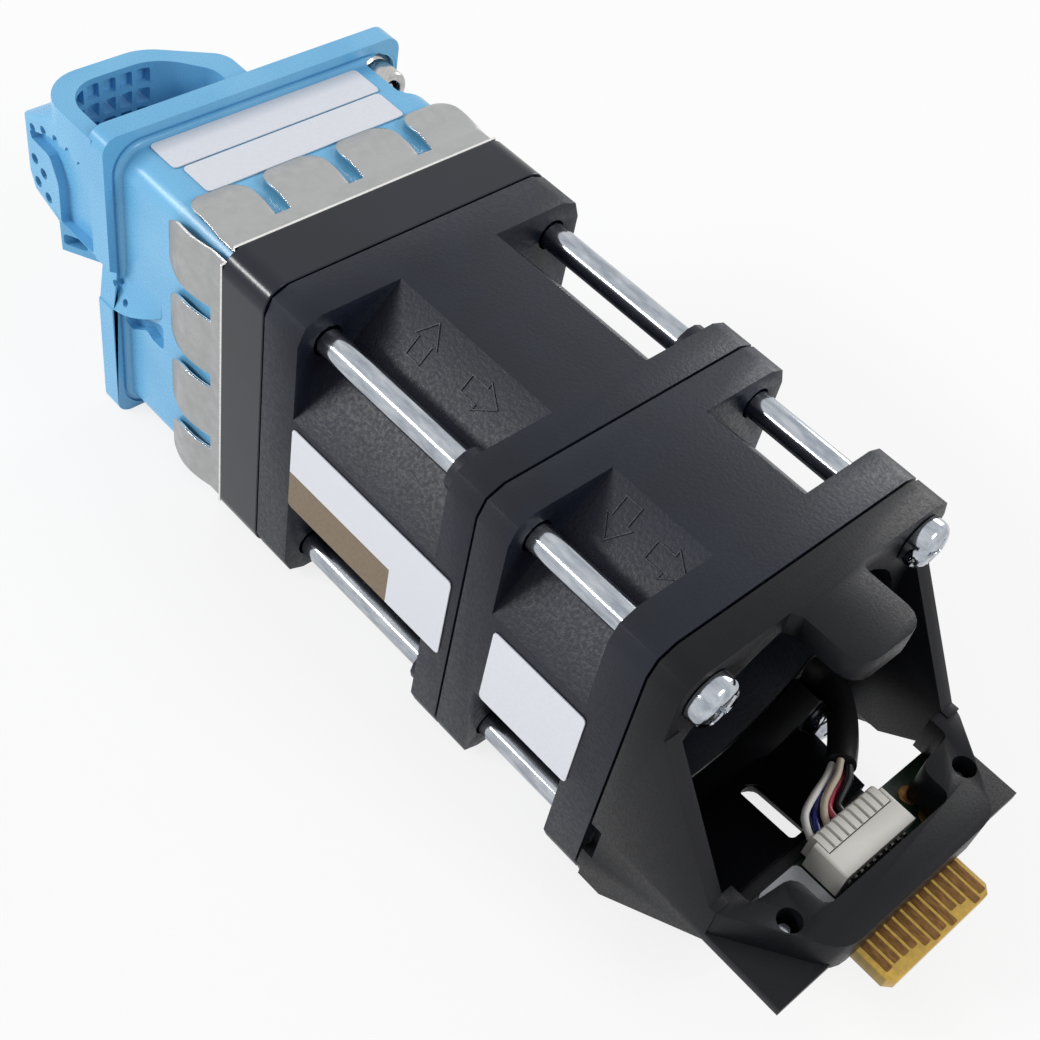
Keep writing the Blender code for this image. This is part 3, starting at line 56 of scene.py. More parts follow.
class Side(Enum):
    """Sides of the square module, by the quarter turns about the air path that bring the top there."""

    TOP = 0
    LEFT = 1
    BOTTOM = 2
    RIGHT = 3


class Axis(Enum):
    """Direction that an outline is pushed along or a profile is turned about."""

    X = 0
    Y = 1
    Z = 2


class Cut(Enum):
    """How a second shape changes a carved solid."""

    JOIN = "UNION"
    REMOVE = "DIFFERENCE"


# ---- colour and shader nodes


def linear(code: str) -> tuple[float, float, float, float]:
    """Turn an sRGB hex colour into linear values.

    Args:
        code: Colour such as "#78B9E1".

    Returns:
        Red, green, blue and alpha, with each channel's sRGB curve undone.
    """
    channels = [int(code[i:i + 2], 16) / 255 for i in (1, 3, 5)]
    flat = [c / 12.92 if c <= 0.04045 else ((c + 0.055) / 1.055) ** 2.4 for c in channels]
    return (*flat, 1.0)


def add_node(tree: bpy.types.NodeTree, kind: str, feeds: dict | None = None, **settings) -> bpy.types.Node:
    """Add one node with its settings, its plain values and its links.

    Args:
        tree: Node tree that gets the node.
        kind: Node type name.
        feeds: For each input, by name or index, a plain value or the output socket that feeds it.
        settings: Properties of the node itself.

    Returns:
        The new node.
    """
    node = tree.nodes.new(kind)
    for key, value in settings.items():
        setattr(node, key, value)
    for key, value in (feeds or {}).items():
        if isinstance(value, bpy.types.NodeSocket):
            tree.links.new(value, node.inputs[key])
        else:
            node.inputs[key].default_value = value
    return node


def new_surface(name: str, **sockets) -> tuple[bpy.types.Material, bpy.types.NodeTree, bpy.types.Node]:
    """Start a material from a Principled shader.

    Args:
        name: Material's name.
        sockets: Plain values, with the shader's input names written with underscores.

    Returns:
        Material, its node tree and the shader node.
    """
    surface = bpy.data.materials.new(name)
    surface.use_nodes = True
    tree = surface.node_tree
    shader = tree.nodes["Principled BSDF"]
    for key, value in sockets.items():
        shader.inputs[key.replace("_", " ")].default_value = value
    return surface, tree, shader


def grain(tree: bpy.types.NodeTree, size_mm: float, stretch: tuple[float, float, float] = (1.0, 1.0, 1.0),
          detail: float = 2.0) -> bpy.types.NodeSocket:
    """Noise whose blotches are about one size, read from Object coordinates.

    Args:
        tree: Node tree that gets the nodes.
        size_mm: Blotch size in millimetres.
        stretch: How much finer the pattern is along each axis.
        detail: Octaves of the noise.

    Returns:
        Output socket between 0 and 1.
    """
    place = add_node(tree, "ShaderNodeTexCoord")
    turned = add_node(tree, "ShaderNodeMapping", {"Vector": place.outputs["Object"], "Scale": stretch})
    noise = add_node(tree, "ShaderNodeTexNoise", {
        "Vector": turned.outputs["Vector"], "Scale": 1.0 / (size_mm * MM), "Detail": detail, "Roughness": 0.55})
    return noise.outputs["Fac"]


def between(tree: bpy.types.NodeTree, fac: bpy.types.NodeSocket, low: float, high: float,
            start: float = 0.35, end: float = 0.65) -> bpy.types.NodeSocket:
    """Spread a mask over a range of values.

    Args:
        tree: Node tree that gets the node.
        fac: Mask.
        low: Value where the mask is at start.
        high: Value where the mask is at end.
        start: Mask value that gives low.
        end: Mask value that gives high.

    Returns:
        Output socket of the spread value.
    """
    spread = add_node(tree, "ShaderNodeMapRange", {
        "Value": fac, "From Min": start, "From Max": end, "To Min": low, "To Max": high})
    return spread.outputs["Result"]


def blended(tree: bpy.types.NodeTree, fac: bpy.types.NodeSocket, first, second) -> bpy.types.NodeSocket:
    """Colour between two colours or colour sockets by a mask.

    Args:
        tree: Node tree that gets the node.
        fac: Mask, 0 for the first colour.
        first: Hex colour or colour socket.
        second: Hex colour or colour socket.

    Returns:
        Output colour socket.
    """
    colours = [linear(c) if isinstance(c, str) else c for c in (first, second)]
    mix = add_node(tree, "ShaderNodeMix", {0: fac, 6: colours[0], 7: colours[1]}, data_type="RGBA")
    return mix.outputs[2]


def relief(tree: bpy.types.NodeTree, shader: bpy.types.Node, height: bpy.types.NodeSocket,
           depth_mm: float, strength: float = 1.0) -> None:
    """Feed a height pattern to a shader's normal.

    Args:
        tree: Node tree that gets the node.
        shader: Principled shader.
        height: Height pattern between 0 and 1.
        depth_mm: Real depth of the relief.
        strength: How much of the relief is used.
    """
    bump = add_node(tree, "ShaderNodeBump", {"Height": height, "Distance": depth_mm * MM, "Strength": strength})
    tree.links.new(bump.outputs["Normal"], shader.inputs["Normal"])


def inside_box(tree: bpy.types.NodeTree, low: tuple, high: tuple, soft_mm: float = 0.05) -> bpy.types.NodeSocket:
    """Mask that is 1 inside a box of the module, from Object coordinates.

    Args:
        tree: Node tree that gets the nodes.
        low: Lowest corner in millimetres, None where the box has no limit.
        high: Highest corner in millimetres, None where the box has no limit.
        soft_mm: Width of the mask's edge.

    Returns:
        Output socket of the mask.
    """
    place = add_node(tree, "ShaderNodeTexCoord")
    parts = add_node(tree, "ShaderNodeSeparateXYZ", {0: place.outputs["Object"]})
    mask = None
    for i, axis in enumerate("XYZ"):
        for limit, sign in ((low[i], 1), (high[i], -1)):
            if limit is None:
                continue
            edge = (limit + MODULE_AT[i]) * MM
            half = soft_mm * MM / 2 * sign
            step = between(tree, parts.outputs[axis], 0.0, 1.0, edge - half, edge + half)
            if mask is None:
                mask = step
            else:
                mask = add_node(tree, "ShaderNodeMath", {0: mask, 1: step}, operation="MULTIPLY").outputs[0]
    return mask


# ---- finishes, each named for the real material and how its surface was made, and for painted light where a colour carries it


@dataclass(frozen=True)
class MouldedPlastic:
    """Injection-moulded plastic with the texture of its tool.

    A spark-eroded tool leaves fine pits, which break up the gloss into glints. A polished tool
    leaves a smooth skin with faint flow marks.
    """

    name: str
    colour: str
    shade: str
    roughness: float
    pit_mm: float
    pit_depth_mm: float
    flow_mm: float = 9.0
    specular: float = 0.5

    def build(self) -> bpy.types.Material:
        """Make the material."""
        surface, tree, shader = new_surface(self.name, Metallic=0.0, IOR=1.49, Specular_IOR_Level=self.specular)
        pits = grain(tree, self.pit_mm)
        flow = grain(tree, self.flow_mm, detail=1.0)
        tree.links.new(blended(tree, between(tree, flow, 0.0, 1.0), self.colour, self.shade),
                       shader.inputs["Base Color"])
        tree.links.new(between(tree, pits, self.roughness * 0.86, self.roughness * 1.14),
                       shader.inputs["Roughness"])
        relief(tree, shader, pits, self.pit_depth_mm)
        return surface


@dataclass(frozen=True)
class WorkedMetal:
    """Bare or plated metal with the marks of rolling, drawing or barrel polishing."""

    name: str
    colour: str
    shade: str
    roughness: float
    mark_mm: float
    stretch: tuple = (1.0, 1.0, 1.0)
    mark_depth_mm: float = 0.002

    def build(self) -> bpy.types.Material:
        """Make the material."""
        surface, tree, shader = new_surface(self.name, Metallic=1.0)
        marks = grain(tree, self.mark_mm, self.stretch, 3.0)
        tree.links.new(blended(tree, between(tree, marks, 0.0, 1.0), self.colour, self.shade),
                       shader.inputs["Base Color"])
        tree.links.new(between(tree, marks, self.roughness * 0.75, self.roughness * 1.25),
                       shader.inputs["Roughness"])
        relief(tree, shader, marks, self.mark_depth_mm)
        return surface


@dataclass(frozen=True)
class LabelPaper:
    """Coated label stock, left bare, with a printed colour band where the real one has one."""

    name: str
    paper: str
    band: str = ""
    band_low: tuple = ()
    band_high: tuple = ()
    paper_shade: str = "#D8DBE3"
    band_shade: str = "#6F5F4B"
    fibre_mm: float = 0.35

    def build(self) -> bpy.types.Material:
        """Make the material."""
        surface, tree, shader = new_surface(self.name, Metallic=0.0, Roughness=0.42, IOR=1.46)
        fibre = grain(tree, self.fibre_mm)
        colour = blended(tree, between(tree, fibre, 0.0, 1.0), self.paper, self.paper_shade)
        if self.band:
            stripe = inside_box(tree, self.band_low, self.band_high)
            inked = blended(tree, between(tree, fibre, 0.0, 1.0), self.band, self.band_shade)
            colour = blended(tree, stripe, colour, inked)
        tree.links.new(colour, shader.inputs["Base Color"])
        relief(tree, shader, fibre, 0.004)
        return surface


@dataclass(frozen=True)
class GlassLaminate:
    """Woven glass and epoxy board: solder mask on its body, bare amber laminate on the tongue."""

    name: str
    mask: str
    bare: str
    bare_low: tuple
    bare_high: tuple = (8.2, None, None)
    mask_shade: str = "#16341F"
    bare_shade: str = "#B8953A"
    weave_mm: float = 0.6

    def build(self) -> bpy.types.Material:
        """Make the material."""
        surface, tree, shader = new_surface(self.name, Metallic=0.0, Roughness=0.34, IOR=1.55)
        cloth = grain(tree, self.weave_mm, (1.0, 1.0, 0.2), 1.0)
        bare = inside_box(tree, self.bare_low, self.bare_high, 0.3)
        amber = blended(tree, between(tree, cloth, 0.0, 1.0), self.bare, self.bare_shade)
        green = blended(tree, between(tree, cloth, 0.0, 1.0), self.mask, self.mask_shade)
        tree.links.new(blended(tree, bare, green, amber), shader.inputs["Base Color"])
        relief(tree, shader, cloth, 0.006)
        return surface


BLUE = MouldedPlastic("blue_abs_moulded_satin", "#69B0DC", "#73B7E0", 0.27, 0.16, 0.004, specular=0.46)
BLACK = MouldedPlastic("black_pbt_spark_eroded", "#0F131E", "#151927", 0.44, 0.42, 0.034, specular=0.30)
BRACKET_BLACK = MouldedPlastic("black_abs_fine_texture", "#0C0D11", "#101116", 0.42, 0.30, 0.016, specular=0.20)
COLLAR_BLACK = MouldedPlastic("black_abs_semi_gloss", "#10131D", "#141825", 0.20, 0.2, 0.003, specular=0.36)
IMPELLER_BLACK = MouldedPlastic("black_pbt_smooth", "#15161A", "#1B1C20", 0.38, 0.5, 0.006, specular=0.35)
STRIP_STEEL = WorkedMetal("stainless_strip_rolled", "#AEAFAF", "#A7A8A8", 0.36, 1.6, mark_depth_mm=0.0003)
SHEARED_EDGE_PAINTED_HIGHLIGHT = WorkedMetal("stainless_sheared_edge_painted_highlight", "#F0EFEC", "#DDDCDA", 0.20, 0.25)
# Sheared rim of the finger strips: stainless, its colour raised far above the rolled face's as a painted highlight for
# the bright line along the edge.
BRIGHT_ZINC = WorkedMetal("steel_bright_zinc", "#BCC1C8", "#979DA6", 0.12, 0.7, (1.0, 0.22, 1.0), 0.002)
TURNED_STEEL = WorkedMetal("stainless_turned", "#C4C4C2", "#AFAFAD", 0.20, 0.12, (0.2, 1.0, 0.2), 0.001)
DRAWN_STEEL = WorkedMetal("steel_drawn_oiled", "#9A9DA2", "#86898E", 0.34, 0.4, (1.0, 0.2, 1.0))
# Header pins: tinned metal, their colour darkened as painted shade for the shadow behind the header.
TINNED_PINS_PAINTED_SHADE = WorkedMetal("tinned_pin_painted_shade", "#6A6A66", "#3A3A38", 0.42, 0.2)
CONTACT_GOLD = WorkedMetal("contact_gold_over_nickel", "#7C5C38", "#5F4428", 0.40, 0.35, (1.0, 0.3, 1.0), 0.001)
FERRITE = MouldedPlastic("ferrite_pressed", "#3A3B3D", "#2E2F31", 0.62, 0.3, 0.02)
WINDING = WorkedMetal("copper_enamelled_wound", "#B3653A", "#8E4A27", 0.36, 0.22, (1.0, 0.15, 1.0), 0.03)
FAN_BOARD = GlassLaminate("fan_board_green_mask", "#1E4A2A", "#1E4A2A", (-9.2, 200.0, None))
CARD_EDGE = GlassLaminate("card_edge_laminate", "#0F1A14", "#CDA63A", (-9.2, 81.0, None))
IVORY = MouldedPlastic("ivory_nylon_moulded", "#DDDBD5", "#D2D0C8", 0.42, 0.3, 0.006)
SLEEVE_BLACK = MouldedPlastic("black_sleeve_shrunk", "#131315", "#1A1A1C", 0.40, 0.5, 0.03, specular=0.4)
WHITE_WIRE = MouldedPlastic("white_pvc_drawn", "#D9D7D3", "#CFCBC6", 0.34, 0.6, 0.004)
BLUE_WIRE = MouldedPlastic("blue_pvc_drawn", "#23246E", "#2C2F86", 0.30, 0.6, 0.004)
TAN_WIRE = MouldedPlastic("tan_pvc_drawn", "#B9AB98", "#C9BDAC", 0.34, 0.6, 0.004)
RED_WIRE = MouldedPlastic("red_pvc_drawn", "#A32B45", "#8E1F33", 0.30, 0.6, 0.004)
BLACK_WIRE = MouldedPlastic("black_pvc_drawn", "#17171A", "#1F1F23", 0.28, 0.6, 0.004)
HOUSING_LABEL = LabelPaper("housing_label_coated_paper", "#DCDFE6")
FAN_LABEL_BANDED = LabelPaper("fan_label_coated_paper", "#DADDE4", "#7A6850", (None, 5.0, None), (None, 22.7, -1.0))

Finish = MouldedPlastic | WorkedMetal | LabelPaper | GlassLaminate


class Finishes:
    """Builds each finish once."""

    made: dict[str, bpy.types.Material] = {}

    @classmethod
    def get(cls, finish: Finish) -> bpy.types.Material:
        """Material of a finish."""
        if finish.name not in cls.made:
            cls.made[finish.name] = finish.build()
        return cls.made[finish.name]


# ---- shapes: points in module millimetres with the point numbers of each face


def to_world(points: np.ndarray) -> np.ndarray:
    """Module millimetres to the row's metres, by a shift and a scale."""
    return (np.asarray(points, dtype=float) + MODULE_AT) * MM


def grid_faces(rows: int, columns: int, wrap: bool = False) -> list:
    """Quads of a grid of points kept row by row.

    Args:
        rows: Number of rows.
        columns: Points in a row.
        wrap: Whether each row closes on itself.

    Returns:
        Four point numbers for each quad.
    """
    i, j = np.meshgrid(np.arange(rows - 1), np.arange(columns if wrap else columns - 1), indexing="ij")
    a, b = i * columns + j, i * columns + (j + 1) % columns
    return np.stack([a, b, b + columns, a + columns], axis=-1).reshape(-1, 4).tolist()


def joined(shapes: list[Shape]) -> Shape:
    """Several shapes as one."""
    points, faces, start = [], [], 0
    for spots, cells in shapes:
        points.append(spots)
        faces += [[start + i for i in cell] for cell in cells]
        start += len(spots)
    return np.concatenate(points), faces


def lofted(rings: np.ndarray, closed: bool = False, folded: bool = False) -> Shape:
    """Skin over rings of equal point counts, with both ends closed.

    Args:
        rings: Array of (ring, point, xyz).
        closed: The last ring joins the first and there are no ends.
        folded: Each end is closed by quads between a ring's first half and its reversed second half.

    Returns:
        The shape.
    """
    rings = np.asarray(rings, dtype=float)
    count, around = rings.shape[:2]
    if closed:
        rings = np.concatenate([rings, rings[:1]])
        return rings.reshape(-1, 3), grid_faces(count + 1, around, True)
    faces = grid_faces(count, around, True)
    for start, turn in ((0, -1), ((count - 1) * around, 1)):
        if folded:
            ends = [[start + i, start + i + 1, start + around - 2 - i, start + around - 1 - i]
                    for i in range(around // 2 - 1)]
        else:
            ends = [[start + i for i in range(around)]]
        faces += [cell[::turn] for cell in ends]
    return rings.reshape(-1, 3), faces


def extruded(outline, axis: Axis, low: float, high: float) -> Shape:
    """Prism: a flat outline pushed along an axis from one place to another."""
    flat = np.asarray(outline, dtype=float)
    return lofted(np.stack([np.insert(flat, axis.value, level, axis=1) for level in (low, high)]))


def turned(radius: np.ndarray, along: np.ndarray, origin: tuple, axis: Axis, sides: int = 48,
           closed: bool = False) -> Shape:
    """Surface of revolution: x = r cos t, z = r sin t about the axis, for rows of r and place.

    Args:
        radius: Radius of each row, or of each row and angle.
        along: Place of each row along the axis, or of each row and angle.
        origin: Point of the axis.
        axis: Direction of the axis.
        sides: Points round the axis.
        closed: The profile is a ring of its own and doesn't end on the axis.

    Returns:
        The shape, whose rows on the axis are one point each once the mesh is welded.
    """
    turn = np.arange(sides) * 2 * math.pi / sides
    radius, along = (np.asarray(v, dtype=float) for v in (radius, along))
    radius = radius if radius.ndim == 2 else np.repeat(radius[:, None], sides, axis=1)
    along = along if along.ndim == 2 else np.repeat(along[:, None], sides, axis=1)
    flat = np.stack([radius * np.cos(turn), radius * np.sin(turn)], axis=-1)
    others = [i for i in range(3) if i != axis.value]
    rings = np.zeros((*radius.shape, 3))
    rings[..., others[0]] = flat[..., 0] + origin[others[0]]
    rings[..., others[1]] = flat[..., 1] + origin[others[1]]
    rings[..., axis.value] = along
    if closed:
        return lofted(rings, closed=True)
    return rings.reshape(-1, 3), grid_faces(len(rings), sides, True)


def rounded(points, radii, steps: int = 6) -> np.ndarray:
    """Closed outline whose corners are rounded by arcs.

    Args:
        points: Corners in the plane.
        radii: Radius at each corner.
        steps: Segments in each arc.

    Returns:
        The outline's points, with each corner replaced by points of the arc that touches both sides.
    """
    points = [np.asarray(p, dtype=float) for p in points]
    result = []
    for i, (corner, radius) in enumerate(zip(points, radii)):
        before, after = points[i - 1] - corner, points[(i + 1) % len(points)] - corner
        u, v = before / np.linalg.norm(before), after / np.linalg.norm(after)
        half = math.acos(max(-1.0, min(1.0, float(u @ v)))) / 2
        if radius <= 0 or half > math.pi / 2 - 0.02:
            result.append(corner)
            continue
        reach = min(radius / math.tan(half), 0.48 * np.linalg.norm(before), 0.48 * np.linalg.norm(after))
        radius = reach * math.tan(half)
        middle = corner + (u + v) / np.linalg.norm(u + v) * radius / math.sin(half)
        a, b = corner + u * reach - middle, corner + v * reach - middle
        angle = math.acos(max(-1.0, min(1.0, float(a @ b) / radius ** 2)))
        share = np.linspace(0.0, 1.0, steps + 1)[:, None]
        arc = (a * np.sin((1 - share) * angle) + b * np.sin(share * angle)) / math.sin(angle)
        result += list(middle + arc)
    return np.array(result)


def rounded_box(left: float, right: float, low: float, high: float, radius: float, steps: int = 8) -> np.ndarray:
    """Box outline with equal round corners."""
    return rounded([(left, low), (right, low), (right, high), (left, high)], [radius] * 4, steps)


def smooth_path(knots, steps: int) -> np.ndarray:
    """Points of a Catmull-Rom curve through knots: each span is the cubic through its two ends."""
    knots = np.asarray(knots, dtype=float)
    ends = np.concatenate([[2 * knots[0] - knots[1]], knots, [2 * knots[-1] - knots[-2]]])
    a, b, c, d = (ends[k:len(ends) - 3 + k][:, None, :] for k in range(4))
    t = (np.arange(steps) / steps)[None, :, None]
    spans = 0.5 * (2 * b + (c - a) * t + (2 * a - 5 * b + 4 * c - d) * t ** 2 + (3 * b - a - 3 * c + d) * t ** 3)
    return np.concatenate([spans.reshape(-1, 3), knots[-1:]])


def tube(path: np.ndarray, radius: float, sides: int = 20) -> Shape:
    """Round cord along a path: a circle square to the path at each of its points, ends closed."""
    ahead = np.gradient(path, axis=0)
    ahead /= np.linalg.norm(ahead, axis=1, keepdims=True)
    across = np.cross(ahead, [0.0, 0.0, 1.0])
    across /= np.linalg.norm(across, axis=1, keepdims=True)
    upward = np.cross(across, ahead)
    turn = (np.arange(sides) * 2 * math.pi / sides)[None, :, None]
    return lofted(path[:, None, :] + radius * (across[:, None, :] * np.cos(turn) + upward[:, None, :] * np.sin(turn)))


def mesh_object(name: str, shape: Shape, finish: bpy.types.Material | None = None, smooth: float = 38.0
                ) -> bpy.types.Object:
    """Object with its place in its mesh, its points welded and its normals outwards.

    Args:
        name: Piece's name.
        shape: Points in module millimetres and faces.
        finish: Material.
        smooth: Edges that bend less than this many degrees are smooth.

    Returns:
        The linked object.
    """
    points, faces = shape
    mesh = bpy.data.meshes.new(name)
    mesh.from_pydata(to_world(points).tolist(), [], faces)
    shell = bmesh.new()
    shell.from_mesh(mesh)
    bmesh.ops.remove_doubles(shell, verts=shell.verts, dist=1e-6)
    bmesh.ops.recalc_face_normals(shell, faces=shell.faces)
    shell.to_mesh(mesh)
    shell.free()
    piece = bpy.data.objects.new(name, mesh)
    bpy.context.collection.objects.link(piece)
    if finish:
        mesh.materials.append(finish)
    mesh.shade_smooth()
    mesh.set_sharp_from_angle(angle=math.radians(smooth))
    return piece


def settle(piece: bpy.types.Object, smooth: float = 38.0) -> None:
    """Apply a piece's modifiers, so that its mesh holds their result, and drop its sliver edges."""
    view = bpy.context.evaluated_depsgraph_get()
    view.update()
    old = piece.data
    piece.data = bpy.data.meshes.new_from_object(piece.evaluated_get(view))
    piece.modifiers.clear()
    bpy.data.meshes.remove(old)
    shell = bmesh.new()
    shell.from_mesh(piece.data)
    bmesh.ops.remove_doubles(shell, verts=shell.verts, dist=4e-6)
    bmesh.ops.dissolve_degenerate(shell, edges=shell.edges, dist=2e-6)
    shell.to_mesh(piece.data)
    shell.free()
    piece.data.shade_smooth()
    piece.data.set_sharp_from_angle(angle=math.radians(smooth))


def carve(piece: bpy.types.Object, shape: Shape, how: Cut) -> None:
    """Join a closed shape to a piece or remove it from the piece."""
    tool = mesh_object("carving_tool", shape)
    step = piece.modifiers.new("carve", "BOOLEAN")
    step.solver = "EXACT"
    step.operation = how.value
    step.object = tool
    settle(piece)
    bpy.data.objects.remove(tool, do_unlink=True)


def ease(piece: bpy.types.Object, width: float, segments: int = 2, over: float = 30.0) -> None:
    """Round a piece's edges that bend more than an angle, by a live bevel of a width in millimetres."""
    bevel = piece.modifiers.new("ease_edges", "BEVEL")
    bevel.width = width * MM
    bevel.segments = segments
    bevel.limit_method = "ANGLE"
    bevel.angle_limit = math.radians(over)
    bevel.use_clamp_overlap = True
    bevel.harden_normals = False


def paint(piece: bpy.types.Object, finish: Finish) -> None:
    """Give a carved piece its one finish."""
    piece.data.materials.clear()
    piece.data.materials.append(Finishes.get(finish))


def weigh_normals(piece: bpy.types.Object) -> None:
    """Let large faces keep their shading flat beside small eased ones."""
    piece.modifiers.new("weighted", "WEIGHTED_NORMAL").keep_sharp = True


def fit_out(piece: bpy.types.Object, body: str, slot: str, *nodes: str) -> None:
    """Let a finished piece ride on its body and hide the nodes that it stands for."""
    if nodes:
        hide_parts(*nodes)
    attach(piece, body)
    LOG.info("made %s on %s, %d faces", piece.name, body, len(piece.data.polygons))


def smooth_group() -> bpy.types.NodeTree:
    """Geometry group that drops stored normals and smooths bends under 35 degrees."""
    group = bpy.data.node_groups.new("smooth_shallow_bends", "GeometryNodeTree")
    group.interface.new_socket("Geometry", in_out="INPUT", socket_type="NodeSocketGeometry")
    group.interface.new_socket("Geometry", in_out="OUTPUT", socket_type="NodeSocketGeometry")
    entry = add_node(group, "NodeGroupInput")
    plain = add_node(group, "GeometryNodeRemoveAttribute", {"Geometry": entry.outputs[0], "Name": "custom_normal"})
    bend = add_node(group, "GeometryNodeInputMeshEdgeAngle")
    shallow = add_node(group, "ShaderNodeMath", {0: bend.outputs[0], 1: math.radians(35.0)}, operation="LESS_THAN")
    faces = add_node(group, "GeometryNodeSetShadeSmooth", {"Geometry": plain.outputs[0], "Shade Smooth": True},
                     domain="FACE")
    edges = add_node(group, "GeometryNodeSetShadeSmooth",
                     {"Geometry": faces.outputs[0], "Shade Smooth": shallow.outputs[0]}, domain="EDGE")
    add_node(group, "NodeGroupOutput", {0: edges.outputs[0]})
    return group


class CarriedNodes:
    """CAD nodes that stay in view, with eased edges and their finishes."""

    def __init__(self) -> None:
        """Prepare the smoothing group."""
        self.group = smooth_group()

    def dress(self, name: str, finish, ease_mm: float = 0.0, segments: int = 2) -> None:
        """Give a CAD node its finish and ease its edges.

        Args:
            name: CAD node.
            finish: Finish of its surface.
            ease_mm: Radius that its edges are eased to.
            segments: Steps in an eased edge.
        """
        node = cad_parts[name]
        material = Finishes.get(finish)
        for slot in node.material_slots:
            slot.material = material
        if not node.material_slots:
            node.data.materials.append(material)
        weld = node.modifiers.new("join_corners", "WELD")
        weld.merge_threshold = 2e-6
        if ease_mm:
            flat = node.modifiers.new("join_flat_faces", "DECIMATE")
            flat.decimate_type = "DISSOLVE"
            flat.angle_limit = math.radians(0.6)
            ease = node.modifiers.new("ease_edges", "BEVEL")
            ease.width = ease_mm * MM
            ease.segments = segments
            ease.limit_method = "ANGLE"
            ease.angle_limit = math.radians(38.0)
            ease.use_clamp_overlap = True
        smooth = node.modifiers.new("smooth", "NODES")
        smooth.node_group = self.group
        LOG.info("dressed %s in %s", name, finish.name)


# ---- sub-assemblies


